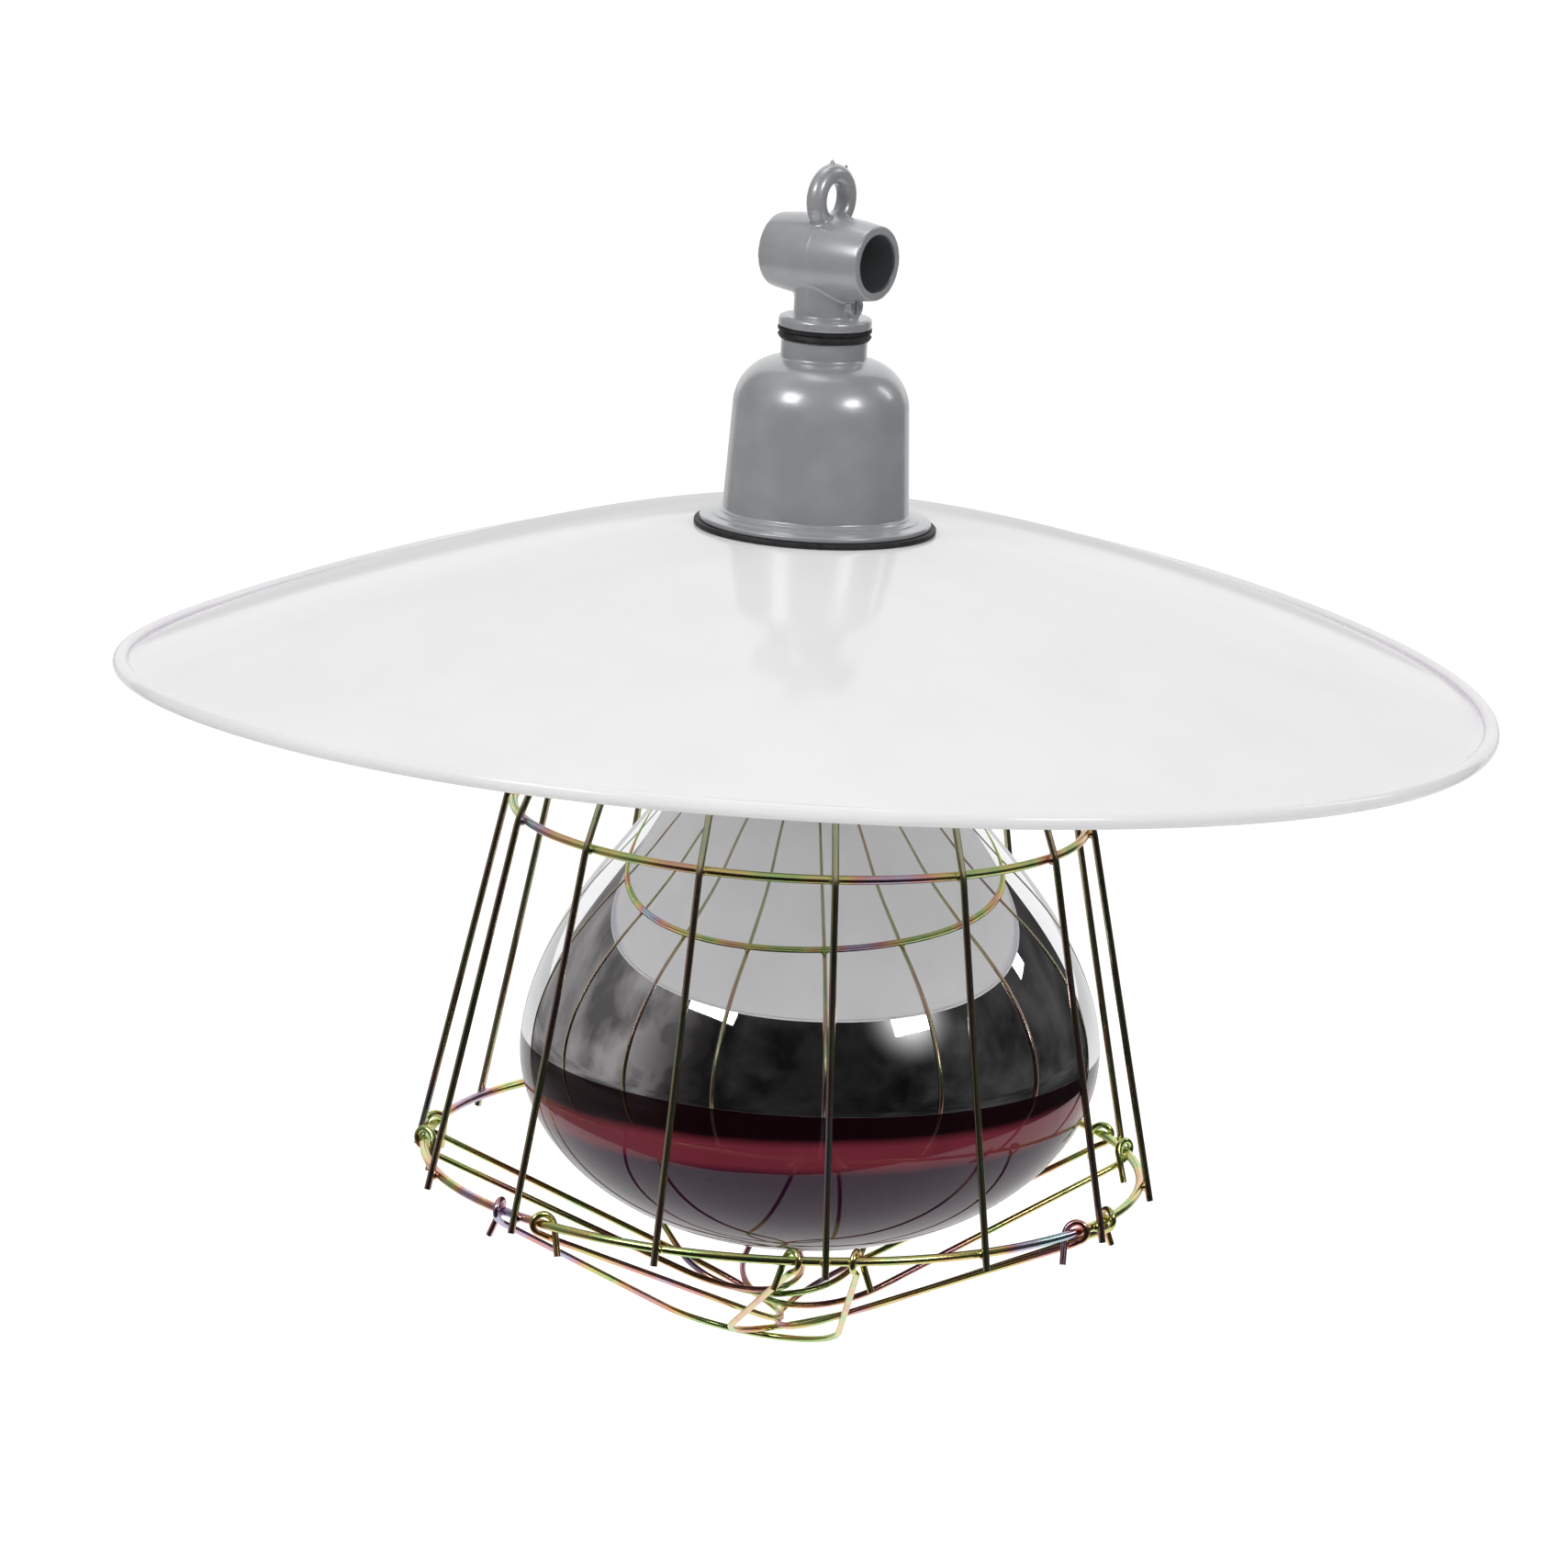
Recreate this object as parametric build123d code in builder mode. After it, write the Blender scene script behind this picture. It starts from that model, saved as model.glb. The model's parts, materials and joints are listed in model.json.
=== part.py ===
from build123d import *
import os
from math import acos, atan2, cos, degrees, hypot, radians, sin

os.makedirs("parts", exist_ok=True)

# Heat lamp fixture that hangs by the eye of its cast tee hanger. Millimetres, +Z up.
# The origin is the centre of the hanging eye's hole. +X runs along the tee's tube, out of its open end.
# Heights named *_h are measured up from the seat, the underside of the bell's foot flange.

# ---- hanging eye and tee hanger ----
eye_bore_radius = 3.25
eye_ring_radius = 5.3
eye_wire_radius = 2.15
gate_stub_radius = 0.9
gate_stub_height = 0.9  # how far the casting's gate stubs stand out of the eye
gate_stub_turns = [3.0, -36.0]  # degrees round the eye from its top
tube_length = 25.5
tube_mid_radius = 8.9
tube_end_radius = 7.9
tube_bore_radius = 6.0
tube_below_eye = 0.05  # gap between the eye's hole and the tube's crown
neck_radius = 6.8
neck_length = 12.6  # from the disc's top up to the tube's axis
passage_radius = 3.4
hanger_disc_radius = 9.85
hanger_disc_thickness = 2.4
hanger_thread_radius = 6.0
hanger_thread_length = 7.5
neck_root_fillet = 1.2
screw_boss_radius = 2.3
screw_boss_reach = 8.1
screw_boss_rise = 2.7  # boss centre above the disc's top
set_screw_radius = 1.45
set_screw_length = 3.6
set_screw_recess = 0.4

# ---- bell ----
collar_radius = 9.1
collar_height = 4.2
shoulder_height = 10.7  # from the end of the straight skirt up to the collar's foot
shoulder_radius = 18.7
skirt_foot_radius = 19.7
step_one_radius = 20.3
step_two_radius = 21.5
step_rise = 1.4
bell_wall = 1.8
bell_roof = 2.0
boss_height = 5.7  # from the lampholder's top up to the bell's roof
flange_radius = 24.6
flange_thickness = 1.8
spigot_radius = 21.4
spigot_bore = 18.8
spigot_length = 9.0
thread_gap = 0.05  # radial gap in every screwed joint
seat_gap = 0.2  # radial gap round the spigot

# ---- gaskets ----
neck_gasket_radius = 9.95
neck_gasket_thickness = 2.4
neck_gasket_groove = 0.45
flange_gasket_radius = 25.75
flange_gasket_thickness = 1.2

# ---- shade ----
shade_radius = 148.0
shade_drop = 30.6  # from the flat crown to the bead's centre
shade_bulge = 3.1  # rise of the dome's arc above its chord
shade_sheet = 1.0
shade_flat_radius = 31.0
bead_radius = 1.7

# ---- wire guard ----
collar_plate_radius = 30.0
collar_plate_thickness = 1.2
clamp_ring_radius = 25.6
clamp_ring_height = 5.0
clamp_notches = 6
clamp_notch_radius = 1.6
ring_wire_radius = 0.95
upright_wire_radius = 0.75
upright_count = 14
guard_phase = -46.9  # turn of the first upright from +X
mid_ring_inset = 1.1  # mid ring inside the lamp's widest radius
mid_ring_h = -63.2
bottom_ring_clearance = 15.0  # bottom ring outside the lamp's widest radius
bottom_ring_h = -140.1
spoke_inner_radius = 26.6
spoke_outer_radius = 41.0
spoke_fall = 2.4
upright_bend = 6.0
upright_knee = 12.0
upright_tail = 2.2
weld_gap = 0.02  # wires touch at their welds

# ---- hinged petals ----
petal_count = 7
petal_wire_radius = 0.7
hook_radius = 2.1
hook_offset = 4.8  # degrees from a hook to its upright
hook_return_radius = 2.6
hook_return_sweep = 65.0
hook_return_tilt = 24.0
hook_tail = 6.5
petal_straight = 2.0
petal_bend = 4.0
petal_past_axis = 8.2  # how far the rounded tip passes the lamp's axis when level
petal_tip_radius = 21.0
petal_droop = 20.5
petal_droop_step = 1.6
petal_levels = [5, 4, 2, 1, 0, 3, 6]  # 0 lies highest

# ---- lampholder ----
porcelain_radius = 15.8
porcelain_foot_h = -3.0
porcelain_roof = 1.9  # above the contact's pocket
holder_floor_gap = 1.8  # lampholder's floor above the lamp cap's shell
screw_shell_thickness = 0.4
cap_gap = 0.3  # lamp cap inside the screw shell
crown_gap = 0.9  # lamp insulator inside the porcelain's cone
contact_thickness = 0.4
contact_gap = 0.3  # spring contact above the lamp's contact
terminal_offset = 9.4
terminal_length = 6.5
terminal_width = 4.4
terminal_depth = 4.0
terminal_gap = 0.3
terminal_screw_radius = 1.2
terminal_screw_stand = 1.0
terminal_wire_hole = 0.9
contact_rivet_radius = 1.5
contact_rivet_length = 1.3
fixing_offset = 11.4
fixing_screw_radius = 1.45
fixing_head_radius = 2.1
fixing_head_height = 1.8
fixing_head_gap = 0.25
fixing_boss_radius = 3.0
earth_screw_bearing = 135.0
earth_head_radius = 2.2
earth_head_height = 1.4
earth_head_gap = 0.3
screw_bite = 4.2
boss_root = 0.3  # bosses run this far into the roof
slot_width = 0.6
slot_depth = 0.6

# ---- reflector lamp ----
cap_radius = 13.05
cap_thread_depth = 0.9
cap_thread_pitch = 3.6
cap_threads = 5
cap_foot_h = -3.6
cap_thread_foot_h = -1.2
cap_shell = 0.35
insulator_foot_radius = 10.2
insulator_top_radius = 4.8
insulator_height = 4.6
lamp_contact_height = 2.2
lamp_contact_radius = 4.2
lamp_throat_length = 3.2
lamp_neck_radius = 17.4
lamp_neck_top_h = -15.0
lamp_neck_foot_h = -37.0
# points of the swell from the neck's foot to the equator, as shares of the way out and down
lamp_swell = [(0.191, 0.192), (0.443, 0.371), (0.632, 0.505), (0.827, 0.660), (0.942, 0.818)]
lamp_radius = 62.5
lamp_equator_h = -115.2
lamp_face_depth = 41.9
lamp_wall = 0.9
lamp_lean = 2.4  # degrees the glass leans in its cap
lamp_lean_bearing = 36.0
throat_side_gap = 0.45
throat_top_gap = 0.7
stem_radius = 4.5
stem_flare_h = -14.0
stem_foot_h = -46.0
filament_radius = 17.0
filament_h = -72.0
filament_wire_radius = 0.6
lead_wire_radius = 0.4
filament_gap_deg = 50.0  # opening between the filament's ends
support_count = 3

# ---- places worked out from the sizes above ----
# heights above the seat, up through the lamp's cap, the lampholder, the bell and the hanger
cap_top_h = cap_thread_foot_h + cap_threads * cap_thread_pitch
insulator_top_h = cap_top_h + insulator_height
lamp_tip_h = insulator_top_h + lamp_contact_height
holder_floor_h = cap_top_h + holder_floor_gap
contact_pocket_top_h = lamp_tip_h + contact_gap + contact_thickness + contact_rivet_length
porcelain_top_h = contact_pocket_top_h + porcelain_roof
earth_seat_h = porcelain_top_h + earth_head_gap + earth_head_height
roof_h = porcelain_top_h + boss_height
collar_foot_h = roof_h + bell_roof
shoulder_foot_h = collar_foot_h - shoulder_height
bell_top_h = collar_foot_h + collar_height
neck_gasket_top_h = bell_top_h + neck_gasket_thickness
hanger_thread_foot_h = neck_gasket_top_h - hanger_thread_length
disc_top_h = neck_gasket_top_h + hanger_disc_thickness
tube_z = -eye_bore_radius - tube_below_eye - tube_mid_radius
seat_z = tube_z - neck_length - disc_top_h
section = Plane(origin=(0, 0, seat_z), x_dir=(1, 0, 0), z_dir=(0, -1, 0))  # radius, height above the seat
# heights below the seat, and radii
spigot_hole = spigot_radius + seat_gap
shade_top_h = -flange_gasket_thickness
shade_under_h = shade_top_h - shade_sheet
plate_under_h = shade_under_h - collar_plate_thickness
bead_h = shade_top_h - shade_drop
bead_centre = shade_radius - bead_radius
screw_shell_radius = cap_radius + cap_gap + screw_shell_thickness
mid_ring_radius = lamp_radius - mid_ring_inset
bottom_ring_radius = lamp_radius + bottom_ring_clearance
upright_pitch = 360 / upright_count
petal_pitch = 360 / petal_count
upright_stand = ring_wire_radius + upright_wire_radius + weld_gap
lean = radians(lamp_lean)
lean_to = radians(lamp_lean_bearing)
glass_up = Vector(-sin(lean) * cos(lean_to), -sin(lean) * sin(lean_to), cos(lean))
glass_side = Vector(-sin(lean_to), cos(lean_to), 0)
glass_seat = Vector(0, 0, seat_z + cap_foot_h) - glass_up * cap_foot_h
glass_axis = Axis(glass_seat, glass_up)
glass_section = Plane(origin=glass_seat, x_dir=glass_side, z_dir=glass_side.cross(glass_up))


def level(height):
    """Horizontal plane at a height above the seat."""
    return Plane.XY.offset(seat_z + height)


def glass_level(height):
    """Plane square to the leaning glass, at a height along its axis."""
    return Plane(origin=glass_seat + glass_up * height, x_dir=glass_side, z_dir=glass_up)


def finish(piece, name):
    """Label a finished piece and write its STEP file."""
    piece.part.label = name
    export_step(piece.part, f"parts/{name}.step")
    print(name, len(piece.part.solids()), round(piece.part.volume, 1))


# ================= tee hanger =================

with BuildPart() as hanger_tee:
    # barrel-shaped tube, revolved about its own axis
    with BuildSketch(Plane.XZ) as barrel:
        with BuildLine():
            crown = ThreePointArc(
                (-tube_length / 2, tube_z + tube_end_radius),
                (0, tube_z + tube_mid_radius),
                (tube_length / 2, tube_z + tube_end_radius),
            )
            Polyline(crown @ 1, (tube_length / 2, tube_z), (-tube_length / 2, tube_z), crown @ 0)
        make_face()
    revolve(axis=Axis((0, 0, tube_z), (1, 0, 0)))
    # neck stub, disc flange and the threaded end that screws into the bell
    with BuildSketch(level(disc_top_h)):
        Circle(neck_radius)
    extrude(amount=tube_z - seat_z - disc_top_h)
    fillet(hanger_tee.edges().filter_by(GeomType.BSPLINE).group_by(Axis.Z)[0], neck_root_fillet)
    with BuildSketch(level(neck_gasket_top_h)):
        Circle(hanger_disc_radius)
    disc = extrude(amount=hanger_disc_thickness)
    fillet(disc.edges().filter_by(GeomType.CIRCLE).group_by(Axis.Z)[-1], 0.8)
    with BuildSketch(level(hanger_thread_foot_h)):
        Circle(hanger_thread_radius)
    extrude(amount=hanger_thread_length)
    # boss for the set screw, under the tube's open end
    with BuildSketch(Plane.YZ.offset(passage_radius)):
        with Locations((0, seat_z + disc_top_h + screw_boss_rise)):
            Circle(screw_boss_radius)
    extrude(amount=screw_boss_reach - passage_radius)
    # hanging eye
    with Locations(Location((0, 0, 0), (0, 90, 0))):
        Torus(eye_ring_radius, eye_wire_radius)
    for stub_turn in gate_stub_turns:
        with Locations(Location((0, 0, 0), (stub_turn, 0, 0)) * Location((0, 0, eye_ring_radius))):
            Cone(
                gate_stub_radius,
                gate_stub_radius / 3,
                eye_wire_radius + gate_stub_height,
                align=(Align.CENTER, Align.CENTER, Align.MIN),
            )
    # bores: along the tube, down the neck, through the eye and in the boss
    with Locations(Location((0, 0, tube_z), (0, 90, 0))):
        Cylinder(tube_bore_radius, tube_length, mode=Mode.SUBTRACT)
    with BuildSketch(level(hanger_thread_foot_h)):
        Circle(passage_radius)
    extrude(amount=tube_z - seat_z - hanger_thread_foot_h, mode=Mode.SUBTRACT)
    with Locations(Location((0, 0, 0), (0, 90, 0))):
        Cylinder(eye_bore_radius, 2 * eye_wire_radius, mode=Mode.SUBTRACT)
    with BuildSketch(Plane.YZ.offset(passage_radius - 1)):
        with Locations((0, seat_z + disc_top_h + screw_boss_rise)):
            Circle(set_screw_radius + thread_gap)
    extrude(amount=screw_boss_reach, mode=Mode.SUBTRACT)
finish(hanger_tee, "hanger_tee")

with BuildPart() as neck_set_screw:
    screw_face = screw_boss_reach - set_screw_recess
    with BuildSketch(Plane.YZ.offset(screw_face - set_screw_length)):
        with Locations((0, seat_z + disc_top_h + screw_boss_rise)):
            Circle(set_screw_radius)
    extrude(amount=set_screw_length)
    with BuildSketch(Plane.YZ.offset(screw_face - slot_depth)):
        with Locations((0, seat_z + disc_top_h + screw_boss_rise)):
            Rectangle(slot_width, 2 * set_screw_radius)
    extrude(amount=slot_depth, mode=Mode.SUBTRACT)
finish(neck_set_screw, "neck_set_screw")

with BuildPart() as neck_gasket:
    # two lips with a shallow groove between them
    groove_radius = neck_gasket_radius - neck_gasket_groove
    inner = hanger_thread_radius + seat_gap
    with BuildSketch(section):
        with BuildLine():
            Polyline(
                (inner, bell_top_h),
                (groove_radius, bell_top_h),
                (neck_gasket_radius, bell_top_h + 0.3 * neck_gasket_thickness),
                (groove_radius, bell_top_h + 0.6 * neck_gasket_thickness),
                (neck_gasket_radius, bell_top_h + 0.75 * neck_gasket_thickness),
                (neck_gasket_radius, neck_gasket_top_h),
                (inner, neck_gasket_top_h),
                close=True,
            )
        make_face()
    revolve(axis=Axis.Z)
finish(neck_gasket, "neck_gasket")

# ================= bell =================

with BuildPart() as bell_housing:
    with BuildSketch(section):
        with BuildLine():
            Polyline(
                (spigot_bore, -spigot_length),
                (spigot_radius, -spigot_length),
                (spigot_radius, 0),
                (flange_radius, 0),
                (flange_radius, 0.7 * flange_thickness),
                (step_two_radius, flange_thickness),
                (step_two_radius, flange_thickness + 0.5 * step_rise),
                (step_one_radius, flange_thickness + 0.6 * step_rise),
                (step_one_radius, flange_thickness + step_rise),
                (skirt_foot_radius, flange_thickness + 1.7 * step_rise),
                (shoulder_radius, shoulder_foot_h),
            )
            shoulder_span = shoulder_radius - collar_radius - bell_roof
            shoulder = ThreePointArc(
                (shoulder_radius, shoulder_foot_h),
                (
                    shoulder_radius - shoulder_span * (1 - sin(radians(45))),
                    shoulder_foot_h + (collar_foot_h - 0.3 - shoulder_foot_h) * cos(radians(45)),
                ),
                (collar_radius + bell_roof, collar_foot_h - 0.3),
            )
            Polyline(
                shoulder @ 1,
                (collar_radius, collar_foot_h),
                (collar_radius, bell_top_h),
                (hanger_thread_radius + thread_gap, bell_top_h),
                (hanger_thread_radius + thread_gap, roof_h),
                (collar_radius + bell_roof - bell_wall, roof_h),
            )
            inner_shoulder = ThreePointArc(
                (collar_radius + bell_roof - bell_wall, roof_h),
                (
                    shoulder_radius - bell_wall - shoulder_span * (1 - sin(radians(45))),
                    shoulder_foot_h + (roof_h - shoulder_foot_h) * cos(radians(45)),
                ),
                (shoulder_radius - bell_wall, shoulder_foot_h),
            )
            Polyline(
                inner_shoulder @ 1,
                (skirt_foot_radius - bell_wall, flange_thickness),
                (spigot_bore, flange_thickness - 1),
                (spigot_bore, -spigot_length),
            )
        make_face()
    revolve(axis=Axis.Z)
    fillet(bell_housing.edges().filter_by(GeomType.CIRCLE).sort_by(Axis.Z)[-2], 0.5)
    # bosses for the lampholder's fixing screws and the earth screw, cast down from the roof
    with BuildSketch(level(porcelain_top_h)):
        with PolarLocations(fixing_offset, 2, 90):
            Circle(fixing_boss_radius)
    extrude(amount=roof_h + boss_root - porcelain_top_h)
    with BuildSketch(level(earth_seat_h)):
        with PolarLocations(fixing_offset, 1, earth_screw_bearing):
            Circle(fixing_boss_radius)
    extrude(amount=roof_h + boss_root - earth_seat_h)
    with BuildSketch(level(porcelain_top_h)):
        with PolarLocations(fixing_offset, 2, 90):
            Circle(fixing_screw_radius + thread_gap)
        with PolarLocations(fixing_offset, 1, earth_screw_bearing):
            Circle(fixing_screw_radius + thread_gap)
    extrude(amount=screw_bite, mode=Mode.SUBTRACT)
finish(bell_housing, "bell_housing")

with BuildPart() as flange_gasket:
    with BuildSketch(level(shade_top_h)):
        Circle(flange_gasket_radius)
        Circle(spigot_hole, mode=Mode.SUBTRACT)
    extrude(amount=flange_gasket_thickness)
    fillet(flange_gasket.edges().filter_by(GeomType.CIRCLE).sort_by(SortBy.RADIUS)[-2:], 0.4)
finish(flange_gasket, "flange_gasket")

# ================= shade =================

with BuildPart() as shade:
    with BuildSketch(section):
        with BuildLine():
            top_flat = Line((spigot_hole, shade_top_h), (shade_flat_radius, shade_top_h))
            top_dome = SagittaArc(top_flat @ 1, (bead_centre, bead_h), shade_bulge)
            under_dome = SagittaArc(
                (bead_centre, bead_h - shade_sheet), (shade_flat_radius, shade_under_h), -shade_bulge
            )
            Line(top_dome @ 1, under_dome @ 0)
            Polyline(under_dome @ 1, (spigot_hole, shade_under_h), top_flat @ 0)
        make_face()
        with Locations((bead_centre, bead_h)):
            Circle(bead_radius)
    revolve(axis=Axis.Z)
finish(shade, "shade")

# ================= wire guard =================

with BuildPart() as guard_collar_plate:
    with BuildSketch(level(plate_under_h)):
        Circle(collar_plate_radius)
        Circle(spigot_hole, mode=Mode.SUBTRACT)
    extrude(amount=collar_plate_thickness)
finish(guard_collar_plate, "guard_collar_plate")

with BuildPart() as clamp_ring:
    with BuildSketch(level(plate_under_h - clamp_ring_height)):
        Circle(clamp_ring_radius)
        Circle(spigot_radius + thread_gap, mode=Mode.SUBTRACT)
        with PolarLocations(clamp_ring_radius, clamp_notches):
            Circle(clamp_notch_radius, mode=Mode.SUBTRACT)
    extrude(amount=clamp_ring_height)
    chamfer(clamp_ring.faces().sort_by(Axis.Z)[0].outer_wire().edges(), 0.4)
finish(clamp_ring, "clamp_ring")

with BuildPart(level(mid_ring_h)) as guard_mid_ring:
    Torus(mid_ring_radius, ring_wire_radius)
finish(guard_mid_ring, "guard_mid_ring")

with BuildPart(level(bottom_ring_h)) as guard_bottom_ring:
    Torus(bottom_ring_radius, ring_wire_radius)
finish(guard_bottom_ring, "guard_bottom_ring")

# Each upright starts as a spoke under the collar plate, turns down, passes outside both rings and ends
# a little below the bottom one.
spoke_h = plate_under_h - upright_wire_radius - weld_gap
upright_lean = atan2(bottom_ring_radius - mid_ring_radius, mid_ring_h - bottom_ring_h)
upright_shift = upright_stand / cos(upright_lean)
upright_end_h = bottom_ring_h - ring_wire_radius - upright_tail
upright_slope = sin(upright_lean) / cos(upright_lean)
upright_end_radius = bottom_ring_radius + upright_shift + (bottom_ring_h - upright_end_h) * upright_slope
for number in range(upright_count):
    turn = radians(guard_phase + number * upright_pitch)
    side = Plane(
        origin=(0, 0, seat_z), x_dir=(cos(turn), sin(turn), 0), z_dir=(sin(turn), -cos(turn), 0)
    )
    with BuildPart() as upright:
        with BuildLine(side) as run:
            FilletPolyline(
                (spoke_inner_radius, spoke_h),
                (spoke_outer_radius, spoke_h - spoke_fall),
                (mid_ring_radius + upright_shift, mid_ring_h),
                (upright_end_radius, upright_end_h),
                radius=[upright_bend, upright_knee],
            )
        with BuildSketch(Plane(origin=run.wire() @ 0, z_dir=run.wire() % 0)):
            Circle(upright_wire_radius)
        sweep(path=run.wire())
    finish(upright, f"guard_upright_{number + 1:02d}")

# ================= petals =================

# Each petal spans two hook pairs of the bottom ring. Its hinge line is the chord between its hooks.
hook_bearing = radians(petal_pitch / 2 + hook_offset)
hinge_half = bottom_ring_radius * sin(hook_bearing)
hinge_radius = bottom_ring_radius * cos(hook_bearing)
petal_reach = hinge_radius + petal_past_axis - petal_tip_radius  # hinge line to the tip's centre
# angle of the legs, from a bend of petal_bend at the hook to a line that touches the round tip
leg_run = hypot(hinge_half - petal_bend, petal_reach - petal_straight)
leg_angle = acos((petal_tip_radius - petal_bend) / leg_run) - atan2(
    petal_reach - petal_straight, hinge_half - petal_bend
)
tip_side = petal_tip_radius * cos(leg_angle)
tip_foot = petal_reach + petal_tip_radius * sin(leg_angle)
return_tilt = radians(hook_return_tilt)


def hook_return(hand, sweep_deg):
    """Point on the arc that comes back over the ring, for the right (1) or left (-1) hook."""
    turn = radians(sweep_deg)
    drop = hook_return_radius * (1 - cos(turn))
    return (
        hand * (hinge_half + drop * sin(return_tilt)),
        hook_return_radius * sin(turn),
        hook_radius - drop * cos(return_tilt),
    )


def hook_lines(hand):
    """Leg foot, bend, hook and tail on one side, in the petal's own plane."""
    bend_end = (
        hand * (hinge_half - petal_bend * (1 - cos(leg_angle))),
        petal_straight + petal_bend * sin(leg_angle),
        -hook_radius,
    )
    bend_mid = (
        hand * (hinge_half - petal_bend * (1 - cos(leg_angle / 2))),
        petal_straight + petal_bend * sin(leg_angle / 2),
        -hook_radius,
    )
    Line((hand * tip_side, tip_foot, -hook_radius), bend_end)
    ThreePointArc(bend_end, bend_mid, (hand * hinge_half, petal_straight, -hook_radius))
    Line((hand * hinge_half, petal_straight, -hook_radius), (hand * hinge_half, 0, -hook_radius))
    ThreePointArc(
        (hand * hinge_half, 0, -hook_radius),
        (hand * hinge_half, -hook_radius, 0),
        (hand * hinge_half, 0, hook_radius),
    )
    tail_start = hook_return(hand, hook_return_sweep)
    ThreePointArc(hook_return(hand, 0), hook_return(hand, hook_return_sweep / 2), tail_start)
    end_turn = radians(hook_return_sweep)
    tail_end = (
        tail_start[0] + hand * hook_tail * sin(end_turn) * sin(return_tilt),
        tail_start[1] + hook_tail * cos(end_turn),
        tail_start[2] - hook_tail * sin(end_turn) * cos(return_tilt),
    )
    Line(tail_start, tail_end)


for number in range(petal_count):
    bearing = radians(guard_phase + (number + 0.5) * petal_pitch)
    droop = radians(petal_droop + petal_droop_step * petal_levels[number])
    outward = Vector(cos(bearing), sin(bearing), 0)
    leaf = Plane(
        origin=outward * hinge_radius + Vector(0, 0, seat_z + bottom_ring_h),
        x_dir=Vector(-sin(bearing), cos(bearing), 0),
        z_dir=Vector(0, 0, cos(droop)) - outward * sin(droop),
    )
    with BuildPart() as petal:
        with BuildLine(leaf) as bent_wire:
            hook_lines(1)
            ThreePointArc(
                (tip_side, tip_foot, -hook_radius),
                (0, petal_reach + petal_tip_radius, -hook_radius),
                (-tip_side, tip_foot, -hook_radius),
            )
            hook_lines(-1)
        with BuildSketch(Plane(origin=bent_wire.wire() @ 0, z_dir=bent_wire.wire() % 0)):
            Circle(petal_wire_radius)
        sweep(path=bent_wire.wire())
    finish(petal, f"petal_{number + 1}")
print("hinge radius", round(hinge_radius, 3), "leg angle", round(degrees(leg_angle), 2))

# ================= lampholder =================

with BuildPart() as lampholder_body:
    crown_foot_radius = insulator_foot_radius + crown_gap
    crown_top_radius = insulator_top_radius + crown_gap
    with BuildSketch(section):
        with BuildLine():
            Polyline(
                (screw_shell_radius + thread_gap, porcelain_foot_h),
                (porcelain_radius - 0.8, porcelain_foot_h),
                (porcelain_radius, porcelain_foot_h + 0.8),
                (porcelain_radius, porcelain_top_h - 1),
                (porcelain_radius - 1, porcelain_top_h),
                (0, porcelain_top_h),
                (0, contact_pocket_top_h),
                (crown_top_radius, contact_pocket_top_h),
                (crown_top_radius, insulator_top_h + 0.5),
                (crown_foot_radius, holder_floor_h),
                (screw_shell_radius + thread_gap, holder_floor_h),
                close=True,
            )
        make_face()
    revolve(axis=Axis.Z)
    # pockets for the terminals, open at the top
    with BuildSketch(level(porcelain_top_h - terminal_depth)):
        with PolarLocations(terminal_offset, 2):
            Rectangle(terminal_width + 2 * terminal_gap, terminal_length + 2 * terminal_gap)
    extrude(amount=terminal_depth, mode=Mode.SUBTRACT)
    # holes for the fixing screws, counterbored from the floor
    with BuildSketch(level(holder_floor_h)):
        with PolarLocations(fixing_offset, 2, 90):
            Circle(fixing_screw_radius + fixing_head_gap)
    extrude(amount=porcelain_top_h - holder_floor_h, mode=Mode.SUBTRACT)
    with BuildSketch(level(holder_floor_h)):
        with PolarLocations(fixing_offset, 2, 90):
            Circle(fixing_head_radius + fixing_head_gap)
    extrude(amount=fixing_head_height, mode=Mode.SUBTRACT)
finish(lampholder_body, "lampholder_body")

with BuildPart() as screw_shell:
    with BuildSketch(level(porcelain_foot_h + 1)):
        Circle(screw_shell_radius)
        Circle(screw_shell_radius - screw_shell_thickness, mode=Mode.SUBTRACT)
    extrude(amount=holder_floor_h - porcelain_foot_h - 1.5)
finish(screw_shell, "screw_shell")

with BuildPart() as centre_contact:
    # disc that meets the lamp, riveted up through its pocket
    with BuildSketch(level(lamp_tip_h + contact_gap)):
        Circle(lamp_contact_radius)
    extrude(amount=contact_thickness)
    with BuildSketch(level(lamp_tip_h + contact_gap + contact_thickness)):
        Circle(contact_rivet_radius)
    extrude(amount=contact_pocket_top_h - lamp_tip_h - contact_gap - contact_thickness)
finish(centre_contact, "centre_contact")

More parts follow.
